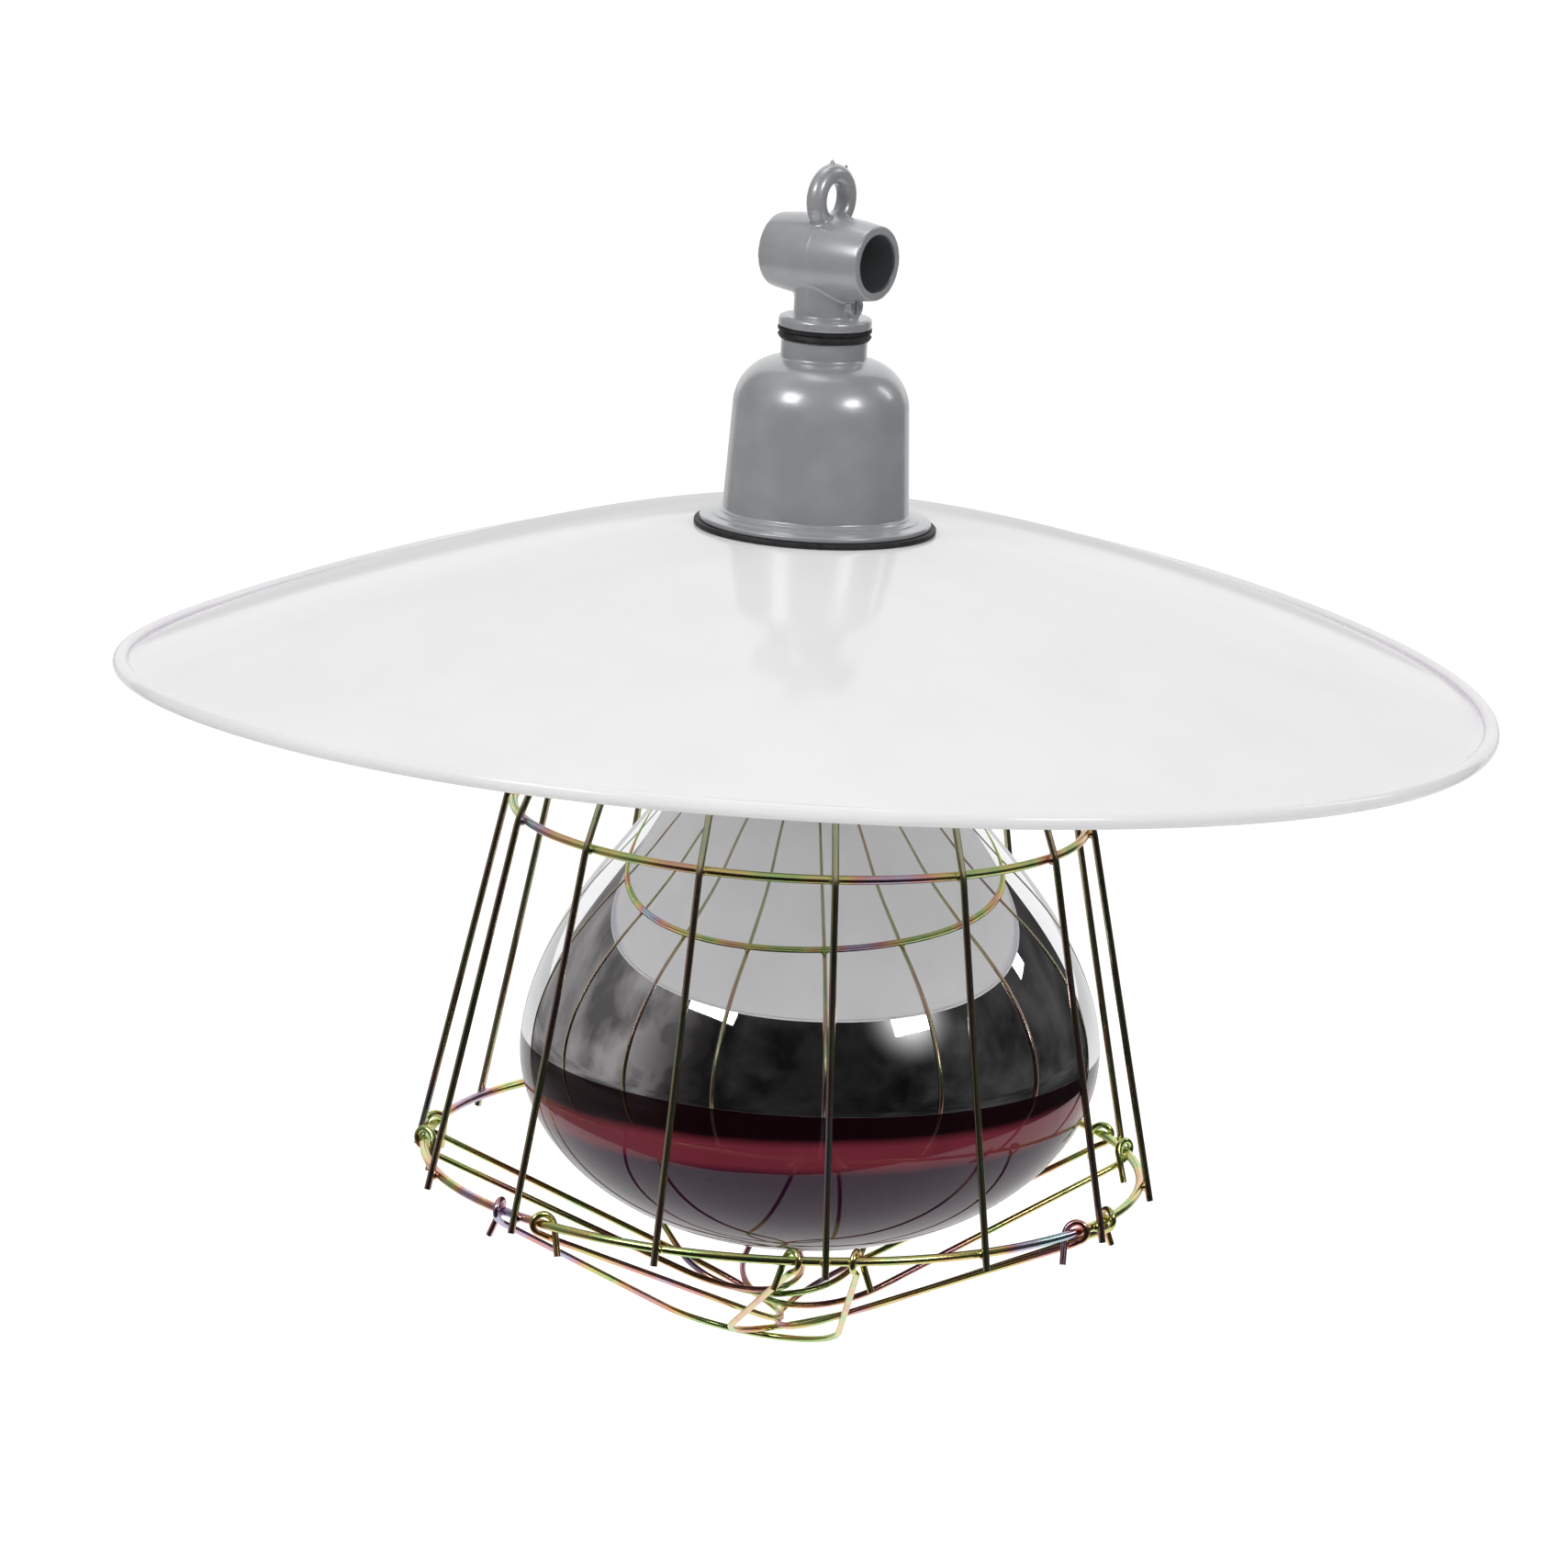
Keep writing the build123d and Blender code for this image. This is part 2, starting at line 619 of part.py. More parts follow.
for hand, place in ((-1, "left"), (1, "right")):
    block_top_h = porcelain_top_h - terminal_gap
    block_foot_h = porcelain_top_h - terminal_depth
    hole_h = block_foot_h + 2 * terminal_wire_hole - 0.5
    with BuildPart() as terminal:
        with BuildSketch(level(block_foot_h)):
            with Locations((hand * terminal_offset, 0)):
                Rectangle(terminal_width, terminal_length)
        extrude(amount=block_top_h - block_foot_h)
        with BuildSketch(Plane.XZ):
            with Locations((hand * terminal_offset, seat_z + hole_h)):
                Circle(terminal_wire_hole)
        extrude(amount=terminal_length, both=True, mode=Mode.SUBTRACT)
        with BuildSketch(level(hole_h)):
            with Locations((hand * terminal_offset, 0)):
                Circle(terminal_screw_radius + thread_gap)
        extrude(amount=terminal_depth, mode=Mode.SUBTRACT)
    finish(terminal, f"terminal_{place}")

    with BuildPart() as terminal_screw:
        screw_top_h = block_top_h + terminal_screw_stand
        with BuildSketch(level(hole_h + terminal_wire_hole)):
            with Locations((hand * terminal_offset, 0)):
                Circle(terminal_screw_radius)
        extrude(amount=screw_top_h - hole_h - terminal_wire_hole)
        with BuildSketch(level(screw_top_h - slot_depth)):
            with Locations((hand * terminal_offset, 0)):
                Rectangle(slot_width, 2 * terminal_screw_radius)
        extrude(amount=slot_depth, mode=Mode.SUBTRACT)
    finish(terminal_screw, f"terminal_screw_{place}")

for hand, place in ((1, "back"), (-1, "front")):
    with BuildPart() as fixing_screw:
        with BuildSketch(level(holder_floor_h)):
            with Locations((0, hand * fixing_offset)):
                Circle(fixing_head_radius)
        extrude(amount=fixing_head_height)
        with BuildSketch(level(holder_floor_h + fixing_head_height)):
            with Locations((0, hand * fixing_offset)):
                Circle(fixing_screw_radius)
        extrude(amount=porcelain_top_h + screw_bite - holder_floor_h - fixing_head_height)
        with BuildSketch(level(holder_floor_h)):
            with Locations((0, hand * fixing_offset)):
                Rectangle(2 * fixing_head_radius, slot_width)
        extrude(amount=slot_depth, mode=Mode.SUBTRACT)
    finish(fixing_screw, f"fixing_screw_{place}")

with BuildPart() as earth_screw:
    with BuildSketch(level(earth_seat_h - earth_head_height)):
        with PolarLocations(fixing_offset, 1, earth_screw_bearing):
            Circle(earth_head_radius)
    extrude(amount=earth_head_height)
    with BuildSketch(level(earth_seat_h)):
        with PolarLocations(fixing_offset, 1, earth_screw_bearing):
            Circle(fixing_screw_radius)
    extrude(amount=porcelain_top_h + screw_bite - earth_seat_h)
    with BuildSketch(level(earth_seat_h - earth_head_height)):
        with PolarLocations(fixing_offset, 1, earth_screw_bearing):
            Rectangle(slot_width, 2 * earth_head_radius)
    extrude(amount=slot_depth, mode=Mode.SUBTRACT)
finish(earth_screw, "earth_screw")

# ================= reflector lamp =================

with BuildPart() as bulb_cap:
    # the screw thread is drawn as separate rings of the same pitch and depth
    thread = [(cap_radius, cap_foot_h), (cap_radius, cap_thread_foot_h)]
    for turn in range(cap_threads):
        thread.append((cap_radius - cap_thread_depth, cap_thread_foot_h + (turn + 0.5) * cap_thread_pitch))
        thread.append((cap_radius - 0.1, cap_thread_foot_h + (turn + 0.8) * cap_thread_pitch))
    cap_inner = cap_radius - cap_thread_depth - cap_shell
    with BuildSketch(section):
        with BuildLine():
            Polyline(
                *thread,
                (insulator_foot_radius, cap_top_h),
                (insulator_foot_radius - 2, cap_top_h),
                (insulator_foot_radius - 2, cap_top_h - cap_shell),
                (cap_inner - 1, cap_top_h - cap_shell),
                (cap_inner, cap_top_h - 1),
                (cap_inner, cap_thread_foot_h),
                (cap_radius - cap_shell, cap_thread_foot_h),
                (cap_radius - cap_shell, cap_foot_h),
                close=True,
            )
        make_face()
    revolve(axis=Axis.Z)
finish(bulb_cap, "bulb_cap")

with BuildPart() as bulb_cap_insulator:
    with BuildSketch(section):
        with BuildLine():
            Polyline(
                (0, cap_top_h),
                (insulator_foot_radius, cap_top_h),
                (insulator_top_radius, insulator_top_h),
                (0, insulator_top_h),
                close=True,
            )
        make_face()
    revolve(axis=Axis.Z)
finish(bulb_cap_insulator, "bulb_cap_insulator")

with BuildPart() as bulb_contact:
    with BuildSketch(level(insulator_top_h)):
        Circle(lamp_contact_radius)
    extrude(amount=lamp_contact_height)
    fillet(bulb_contact.edges().filter_by(GeomType.CIRCLE).sort_by(Axis.Z)[-1], 1.2)
finish(bulb_contact, "bulb_contact")

throat_radius = cap_radius - cap_shell - throat_side_gap
throat_top_h = cap_thread_foot_h - throat_top_gap
throat_foot_h = throat_top_h - lamp_throat_length
neck_bore = lamp_neck_radius - lamp_wall
outer_swell = [(lamp_neck_radius, lamp_neck_foot_h)]
for way_out, way_down in lamp_swell:
    swell_radius = lamp_neck_radius + way_out * (lamp_radius - lamp_neck_radius)
    outer_swell.append((swell_radius, lamp_neck_foot_h + way_down * (lamp_equator_h - lamp_neck_foot_h)))
outer_swell.append((lamp_radius, lamp_equator_h))
inner_swell = [(neck_bore, lamp_neck_foot_h)]
for before, point, after in zip(outer_swell, outer_swell[1:], outer_swell[2:]):
    run = after[0] - before[0]
    fall = before[1] - after[1]
    share = lamp_wall / hypot(run, fall)
    inner_swell.append((point[0] - share * fall, point[1] - share * run))
inner_swell.append((lamp_radius - lamp_wall, lamp_equator_h))
down = [(0, -1), (0, -1)]

with BuildPart() as bulb_reflector:
    with BuildSketch(glass_section):
        with BuildLine():
            Line((throat_radius, throat_top_h), (throat_radius, throat_foot_h))
            Spline((throat_radius, throat_foot_h), (lamp_neck_radius, lamp_neck_top_h), tangents=down)
            Line((lamp_neck_radius, lamp_neck_top_h), (lamp_neck_radius, lamp_neck_foot_h))
            Spline(*outer_swell, tangents=down)
            Line(outer_swell[-1], inner_swell[-1])
            Spline(*inner_swell, tangents=down)
            Line((neck_bore, lamp_neck_foot_h), (neck_bore, lamp_neck_top_h))
            Spline(
                (throat_radius - lamp_wall, throat_foot_h - lamp_wall / 2),
                (neck_bore, lamp_neck_top_h),
                tangents=down,
            )
            Polyline(
                (throat_radius - lamp_wall, throat_foot_h - lamp_wall / 2),
                (throat_radius - lamp_wall, throat_top_h),
                (throat_radius, throat_top_h),
            )
        make_face()
    revolve(axis=glass_axis)
finish(bulb_reflector, "bulb_reflector")

with BuildPart() as bulb_front:
    with BuildSketch(glass_section):
        with BuildLine():
            middle = (0, lamp_equator_h)
            bowl = EllipticalCenterArc(middle, lamp_radius, lamp_face_depth, start_angle=270, arc_size=90)
            inner_radius = lamp_radius - lamp_wall
            inner_depth = lamp_face_depth - lamp_wall
            inner_bowl = EllipticalCenterArc(middle, inner_radius, inner_depth, start_angle=270, arc_size=90)
            Line(bowl @ 0, inner_bowl @ 0)
            Line(bowl @ 1, inner_bowl @ 1)
        make_face()
    revolve(axis=glass_axis)
finish(bulb_front, "bulb_front")

with BuildPart() as bulb_stem:
    # glass tube, flared at the top where it is sealed into the throat
    flare_radius = throat_radius - lamp_wall
    with BuildSketch(glass_section):
        with BuildLine():
            Polyline(
                (0, stem_foot_h),
                (stem_radius, stem_foot_h),
                (stem_radius, stem_flare_h),
                (flare_radius, throat_foot_h),
                (flare_radius, throat_top_h),
                (flare_radius - lamp_wall, throat_top_h),
                (flare_radius - lamp_wall, throat_foot_h),
                (stem_radius - lamp_wall, stem_flare_h),
                (stem_radius - lamp_wall, stem_flare_h - 6),
                (0, stem_flare_h - 6),
                close=True,
            )
        make_face()
    revolve(axis=glass_axis)
finish(bulb_stem, "bulb_stem")

with BuildPart() as bulb_filament:
    with BuildLine(glass_level(filament_h)) as coil:
        CenterArc((0, 0), filament_radius, filament_gap_deg / 2, 360 - filament_gap_deg)
    with BuildSketch(Plane(origin=coil.wire() @ 0, z_dir=coil.wire() % 0)):
        Circle(filament_wire_radius)
    sweep(path=coil.wire())
finish(bulb_filament, "bulb_filament")

# lead wires and supports run from the stem's foot to just above the filament
hang_bearings = [filament_gap_deg / 2 + 2, -filament_gap_deg / 2 - 2]
hang_names = ["bulb_lead_wire_1", "bulb_lead_wire_2"]
for number in range(support_count):
    hang_bearings.append(180 + (number - (support_count - 1) / 2) * 75)
    hang_names.append(f"bulb_filament_support_{number + 1}")
wire_stand = filament_wire_radius + 1.5 * lead_wire_radius
for bearing_deg, name in zip(hang_bearings, hang_names):
    outward = Vector(cos(radians(bearing_deg)), sin(radians(bearing_deg)), 0)
    knee_h = stem_foot_h - 3
    start = glass_level(stem_foot_h).from_local_coords(outward * (stem_radius - 1.2))
    knee = glass_level(knee_h).from_local_coords(outward * (stem_radius - 1.2))
    end = glass_level(filament_h + wire_stand).from_local_coords(outward * filament_radius)
    with BuildPart() as hanging_wire:
        with BuildLine() as strand:
            Polyline(start, knee, end)
        with BuildSketch(Plane(origin=start, z_dir=-glass_up)):
            Circle(lead_wire_radius)
        sweep(path=strand.wire(), transition=Transition.ROUND)
    finish(hanging_wire, name)
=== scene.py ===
import bpy
import bmesh
import json
import math
import numpy as np
from mathutils import Matrix, Vector


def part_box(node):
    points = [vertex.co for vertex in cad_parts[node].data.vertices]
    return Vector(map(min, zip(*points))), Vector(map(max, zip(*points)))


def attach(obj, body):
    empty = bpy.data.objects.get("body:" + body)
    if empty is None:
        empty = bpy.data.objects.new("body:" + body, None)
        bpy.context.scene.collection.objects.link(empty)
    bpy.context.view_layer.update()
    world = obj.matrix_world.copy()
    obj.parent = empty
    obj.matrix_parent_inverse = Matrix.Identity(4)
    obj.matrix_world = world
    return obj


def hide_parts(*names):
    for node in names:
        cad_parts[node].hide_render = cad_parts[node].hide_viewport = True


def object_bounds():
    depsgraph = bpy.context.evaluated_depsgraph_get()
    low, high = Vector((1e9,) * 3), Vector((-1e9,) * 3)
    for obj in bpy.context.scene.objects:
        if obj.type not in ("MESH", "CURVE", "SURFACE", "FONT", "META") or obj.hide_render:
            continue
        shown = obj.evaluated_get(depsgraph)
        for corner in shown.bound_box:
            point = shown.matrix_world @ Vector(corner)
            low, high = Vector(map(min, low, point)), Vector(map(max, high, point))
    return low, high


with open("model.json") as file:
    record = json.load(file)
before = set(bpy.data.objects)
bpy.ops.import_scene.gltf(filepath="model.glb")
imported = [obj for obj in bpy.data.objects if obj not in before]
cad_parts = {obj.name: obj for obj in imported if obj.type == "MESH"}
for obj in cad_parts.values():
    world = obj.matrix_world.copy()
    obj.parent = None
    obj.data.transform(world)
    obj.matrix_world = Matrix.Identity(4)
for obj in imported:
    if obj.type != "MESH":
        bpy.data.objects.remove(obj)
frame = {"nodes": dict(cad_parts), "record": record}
cadLow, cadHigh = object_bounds()
mm = 0.001
mergeGap = 1e-7  # metres; closes the seams and poles of new meshes
creaseAngle = math.radians(40)  # edges bent more than this stay crisp
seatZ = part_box("flange_gasket")[1].z  # underside of the bell's foot: the new pieces' heights are mm above it
seat = np.array([0, 0, seatZ])
viewTurn = math.radians(-54)  # bearing of the camera round the lamp, from +X
toCamera = Vector((math.cos(viewTurn), math.sin(viewTurn), 0))  # level, from the lamp's axis
toRight = Vector((-toCamera.y, toCamera.x, 0))  # level, to the camera's right
print("frame loaded", len(frame["nodes"]), "nodes")


def link(name, data):
    item = bpy.data.objects.new(name, data)
    bpy.context.scene.collection.objects.link(item)
    return item


def paint(piece, material):
    if not piece.material_slots:
        piece.data.materials.append(material)
    for holder in piece.material_slots:
        holder.material = material


def ride(piece, body, material, slot, *hidden):
    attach(piece, body)
    if hidden:
        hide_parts(*hidden)
    paint(piece, material)


def fullTurn(columns):
    return np.linspace(0, 2 * math.pi, columns, endpoint=False)


def roundGrid(radii, heights, turn):
    # a row for each radius and height, carried round the upright axis: x and y are the radius times the
    # cosine and sine of the turn
    return np.stack(np.broadcast_arrays(radii * np.cos(turn), radii * np.sin(turn), heights), axis=-1)


def heading(bearing, rise):
    # unit vectors by their bearing from the camera's and their rise above level, in degrees
    turn = viewTurn + np.radians(bearing)
    lift = np.radians(rise)
    return roundGrid(np.cos(lift), np.sin(lift), turn)


def gridCorners(rows, columns, wrapRows, wrapColumns):
    # quads between neighbouring points of a grid; a wrapped direction joins its last line to its first
    i, j = np.meshgrid(
        np.arange(rows if wrapRows else rows - 1),
        np.arange(columns if wrapColumns else columns - 1),
        indexing="ij",
    )
    nextRow = (i + 1) % rows
    nextColumn = (j + 1) % columns
    return np.stack([
        i * columns + j, nextRow * columns + j, nextRow * columns + nextColumn, i * columns + nextColumn,
    ], axis=-1).reshape(-1, 4)


def quadPiece(name, points, corners, uv=None):
    mesh = bpy.data.meshes.new(name)
    mesh.from_pydata(points.tolist(), [], corners.tolist())
    if uv is not None:
        layer = mesh.uv_layers.new(name="along")
        loopPoints = np.zeros(len(mesh.loops), dtype=np.int32)
        mesh.loops.foreach_get("vertex_index", loopPoints)
        layer.data.foreach_set("uv", uv.reshape(-1, 2)[loopPoints].ravel())
    work = bmesh.new()
    work.from_mesh(mesh)
    bmesh.ops.remove_doubles(work, verts=work.verts, dist=mergeGap)
    bmesh.ops.recalc_face_normals(work, faces=work.faces)
    work.to_mesh(mesh)
    work.free()
    mesh.polygons.foreach_set("use_smooth", [True] * len(mesh.polygons))
    mesh.set_sharp_from_angle(angle=creaseAngle)
    return link(name, mesh)


def gridPiece(name, grid, wrapRows=False, wrapColumns=False, uv=None):
    corners = gridCorners(*grid.shape[:2], wrapRows, wrapColumns)
    return quadPiece(name, grid.reshape(-1, 3), corners, uv)


def alongUv(across, way):
    # the UV map that the patterns following a surface read: u across the grid's columns, v down its rows
    return np.stack(np.broadcast_arrays(across, way), axis=-1)


def turnedPiece(name, profile, columns, lean=None, way=None):
    # a closed profile of radii and heights carried round the lamp's axis, then leaned as a whole; way,
    # which is a number for each point of the profile, becomes the v of its UV map
    turn = fullTurn(columns)
    grid = roundGrid(profile[:, :1], profile[:, 1:], turn)
    if lean is not None:
        grid = lean(grid)
    uv = None if way is None else alongUv(turn / (2 * math.pi), way[:, None])
    return gridPiece(name, grid * mm + seat, wrapRows=True, wrapColumns=True, uv=uv)


def bentPath(corners, bends, step, arcStep=0.15):
    # straight runs joined by arcs that touch both runs; bends holds a radius for each inner corner; the
    # points are about a step apart, and arcStep radians apart on a small arc
    corners = np.asarray(corners, dtype=float)
    stretches = []
    start = corners[0]
    for index, bend in enumerate(bends, 1):
        here = corners[index]
        before = corners[index - 1] - here
        after = corners[index + 1] - here
        before /= np.linalg.norm(before)
        after /= np.linalg.norm(after)
        half = math.acos(np.clip(before @ after, -1, 1)) / 2
        enter = here + before * bend / math.tan(half)
        leave = here + after * bend / math.tan(half)
        middle = here + (before + after) / np.linalg.norm(before + after) * bend / math.sin(half)
        count = max(2, int(np.linalg.norm(enter - start) / step))
        stretches.append(start + (enter - start) * np.linspace(0, 1, count, endpoint=False)[:, None])
        sweep = math.pi - 2 * half
        count = max(3, int(sweep * bend / step), int(sweep / arcStep))
        turn = np.linspace(0, sweep, count, endpoint=False)[:, None]
        spoke = (enter - middle) / bend
        stretches.append(middle + bend * (spoke * np.cos(turn) - before * np.sin(turn)))
        start = leave
    count = max(2, int(np.linalg.norm(corners[-1] - start) / step))
    stretches.append(start + (corners[-1] - start) * np.linspace(0, 1, count)[:, None])
    return np.concatenate(stretches)


def srgb(code):
    # a hex colour as linear light: the sRGB curve undone channel by channel
    raw = [int(code[i:i + 2], 16) / 255 for i in (1, 3, 5)]
    return tuple(c / 12.92 if c <= 0.04045 else ((c + 0.055) / 1.055) ** 2.4 for c in raw) + (1.0,)


def addNode(tree, kind, inputs=None, stops=(), **settings):
    # one node with its settings; an input is a value, a hex colour, the socket that feeds it, or a node
    # whose first output does; a ramp's stops are its first and last, and then those between
    node = tree.nodes.new(kind)
    for key, value in settings.items():
        setattr(node, key, value)
    for socket, value in (inputs or {}).items():
        if isinstance(value, bpy.types.Node):
            value = value.outputs[0]
        if isinstance(value, bpy.types.NodeSocket):
            tree.links.new(value, node.inputs[socket])
        else:
            node.inputs[socket].default_value = srgb(value) if isinstance(value, str) else value
    for index, (place, colour) in enumerate(stops):
        ramp = node.color_ramp.elements
        stop = ramp[index] if index < 2 else ramp.new(place)
        stop.position = place
        stop.color = srgb(colour) if isinstance(colour, str) else colour
    return node


def newMaterial(name):
    material = bpy.data.materials.new(name)
    material.use_nodes = True
    material.node_tree.nodes.clear()
    return material, material.node_tree


def millimetrePattern(tree, size, detail=2.0, kind="ShaderNodeTexNoise", seed=0.0):
    # a pattern whose features are about size millimetres, read in object coordinates
    place = addNode(tree, "ShaderNodeTexCoord")
    move = addNode(tree, "ShaderNodeMapping", {
        "Vector": place.outputs["Object"], "Location": (seed, seed * 0.7, -seed),
    })
    inputs = {"Vector": move, "Scale": 1 / (size * mm)}
    if kind == "ShaderNodeTexNoise":
        inputs["Detail"] = detail
    return addNode(tree, kind, inputs)


def alongMap(tree):
    # a piece's own UV map, split into u and v
    place = addNode(tree, "ShaderNodeUVMap", uv_map="along")
    return addNode(tree, "ShaderNodeSeparateXYZ", {"Vector": place})


def castingPaint():
    # silver-grey stoved paint on an aluminium casting: a soft sheen with blurred highlights, a faint orange
    # peel and a few bare specks; inside the tube it is painted darker, as painted shade in the hollow
    look = {
        "tone": ((0.35, "#a5a8ab"), (0.65, "#aeb0b3")), "metallic": 0.3, "roughness": (0.28, 0.36),
        "coat": 0.8, "coatRoughness": 0.17,
        "moundSize": 7.0, "moundStrength": 0.10, "moundDepth": 0.4,
        "peelSize": 0.9, "peelStrength": 0.10, "peelDepth": 0.05,
        "speck": "#56524c", "speckSpacing": 6.5, "speckShare": 0.035,  # its radius as a share of the spacing
        # painted shade: the darker colour inside the tube, and where it reaches
        "boreShade": "#66686a", "boreRadius": 6.3, "boreBelow": 12.2,  # mm below the eye's middle, at z = 0
    }
    material, tree = newMaterial("stovedGreyPaint")
    mound = millimetrePattern(tree, look["moundSize"], 3)
    peel = millimetrePattern(tree, look["peelSize"], 1)
    specks = millimetrePattern(tree, look["speckSpacing"], kind="ShaderNodeTexVoronoi", seed=3.0)
    tone = addNode(tree, "ShaderNodeValToRGB", {"Fac": mound}, look["tone"])
    bare = addNode(tree, "ShaderNodeMath", {0: specks, 1: look["speckShare"]}, operation="LESS_THAN")
    painted = addNode(tree, "ShaderNodeMix", {
        "Factor": bare, "A": tone, "B": look["speck"],
    }, data_type="RGBA")
    place = addNode(tree, "ShaderNodeTexCoord")
    across = addNode(tree, "ShaderNodeMapping", {
        "Vector": place.outputs["Object"], "Location": (0, 0, look["boreBelow"] * mm), "Scale": (0, 1, 1),
    })
    fromBore = addNode(tree, "ShaderNodeVectorMath", {0: across}, operation="LENGTH")
    inBore = addNode(tree, "ShaderNodeMath", {
        0: fromBore.outputs["Value"], 1: look["boreRadius"] * mm,
    }, operation="LESS_THAN")
    # painted shade: inside the tube the paint's colour is swapped for a darker one
    skin = addNode(tree, "ShaderNodeMix", {
        "Factor": inBore, "A": painted.outputs["Result"], "B": look["boreShade"],
    }, data_type="RGBA")
    dull = addNode(tree, "ShaderNodeMapRange", {
        "Value": mound, "To Min": look["roughness"][0], "To Max": look["roughness"][1],
    })
    wave = addNode(tree, "ShaderNodeBump", {
        "Height": mound, "Strength": look["moundStrength"], "Distance": look["moundDepth"] * mm,
    })
    grain = addNode(tree, "ShaderNodeBump", {
        "Height": peel, "Strength": look["peelStrength"], "Distance": look["peelDepth"] * mm, "Normal": wave,
    })
    shader = addNode(tree, "ShaderNodeBsdfPrincipled", {
        "Base Color": skin.outputs["Result"], "Metallic": look["metallic"], "Roughness": dull,
        "Normal": grain, "Coat Weight": look["coat"], "Coat Roughness": look["coatRoughness"],
    })
    addNode(tree, "ShaderNodeOutputMaterial", {"Surface": shader})
    return material


def blackRubber():
    # moulded black rubber: nearly matte, slightly grey where it is rubbed
    look = {
        "tone": ((0.35, "#151516"), (0.75, "#2b2b2c")), "roughness": 0.55,
        "rubSize": 1.5, "rubStrength": 0.3, "rubDepth": 0.1,
    }
    material, tree = newMaterial("mouldedBlackRubber")
    rub = millimetrePattern(tree, look["rubSize"], 4)
    tone = addNode(tree, "ShaderNodeValToRGB", {"Fac": rub}, look["tone"])
    grain = addNode(tree, "ShaderNodeBump", {
        "Height": rub, "Strength": look["rubStrength"], "Distance": look["rubDepth"] * mm,
    })
    shader = addNode(tree, "ShaderNodeBsdfPrincipled", {
        "Base Color": tone, "Roughness": look["roughness"], "Normal": grain,
    })
    addNode(tree, "ShaderNodeOutputMaterial", {"Surface": shader})
    return material


def whiteEnamel():
    # vitreous enamel on pressed steel: glassy gloss over a slightly wavy sheet, with faint handling
    # marks, and a lilac painted shade in the groove beside the rim's bead, at the sides and behind
    look = {
        "tone": ((0.4, "#f6f5f5"), (0.75, "#f2f1f3")), "grooveShade": "#d9cfe0", "ior": 1.5, "specular": 0.24,
        "smearSize": 24.0, "roughness": (0.07, 0.14),
        "waveSize": 38.0, "waveStrength": 0.10, "waveDepth": 0.8,
        "peelSize": 5.0, "peelStrength": 0.04, "peelDepth": 0.1,
        # the painted groove shade, faded in between each pair of numbers in mm: radii from, strongest and to,
        # then how far to either side of the lamp, and how far in front of it and behind it
        "groove": (139.5, 143.0, 144.8), "grooveSides": (112.0, 136.0), "grooveBack": (25.0, -25.0),
    }
    material, tree = newMaterial("vitreousWhiteEnamel")
    sheet = millimetrePattern(tree, look["waveSize"], 1)
    peel = millimetrePattern(tree, look["peelSize"], 1)
    smear = millimetrePattern(tree, look["smearSize"], 5, seed=5.0)
    tone = addNode(tree, "ShaderNodeValToRGB", {"Fac": smear}, look["tone"])
    place = addNode(tree, "ShaderNodeTexCoord")
    flat = addNode(tree, "ShaderNodeMapping", {
        "Vector": place.outputs["Object"], "Scale": (1 / mm, 1 / mm, 0),
    })
    out = addNode(tree, "ShaderNodeVectorMath", {0: flat}, operation="LENGTH").outputs["Value"]
    aside = addNode(tree, "ShaderNodeVectorMath", {0: flat, 1: toRight}, operation="DOT_PRODUCT")
    ahead = addNode(tree, "ShaderNodeVectorMath", {0: flat, 1: toCamera}, operation="DOT_PRODUCT")
    either = addNode(tree, "ShaderNodeMath", {0: aside.outputs["Value"]}, operation="ABSOLUTE")
    grooveFrom, grooveMid, grooveTo = look["groove"]
    grooveShade = None
    for value, begins, ends, shares in (
        (out, grooveFrom, grooveMid, (0.0, 1.0)),
        (out, grooveMid, grooveTo, (1.0, 0.0)),
        (either, *look["grooveSides"], (0.0, 1.0)),
        (ahead.outputs["Value"], *look["grooveBack"], (0.0, 1.0)),
    ):
        share = addNode(tree, "ShaderNodeMapRange", {
            "Value": value, "From Min": begins, "From Max": ends, "To Min": shares[0], "To Max": shares[1],
        })
        grooveShade = addNode(tree, "ShaderNodeMath", {0: grooveShade, 1: share}, operation="MULTIPLY") if grooveShade else share
    # painted shade: the lilac tinge mixed into the enamel's colour in the groove beside the bead
    tinted = addNode(tree, "ShaderNodeMix", {"Factor": grooveShade, "A": tone, "B": look["grooveShade"]}, data_type="RGBA")
    dull = addNode(tree, "ShaderNodeMapRange", {
        "Value": smear, "To Min": look["roughness"][0], "To Max": look["roughness"][1],
    })
    wave = addNode(tree, "ShaderNodeBump", {
        "Height": sheet, "Strength": look["waveStrength"], "Distance": look["waveDepth"] * mm,
    })
    fine = addNode(tree, "ShaderNodeBump", {
        "Height": peel, "Strength": look["peelStrength"], "Distance": look["peelDepth"] * mm, "Normal": wave,
    })
    shader = addNode(tree, "ShaderNodeBsdfPrincipled", {
        "Base Color": tinted.outputs["Result"], "Roughness": dull, "IOR": look["ior"], "Normal": fine,
        "Specular IOR Level": look["specular"],
    })
    addNode(tree, "ShaderNodeOutputMaterial", {"Surface": shader})
    return material


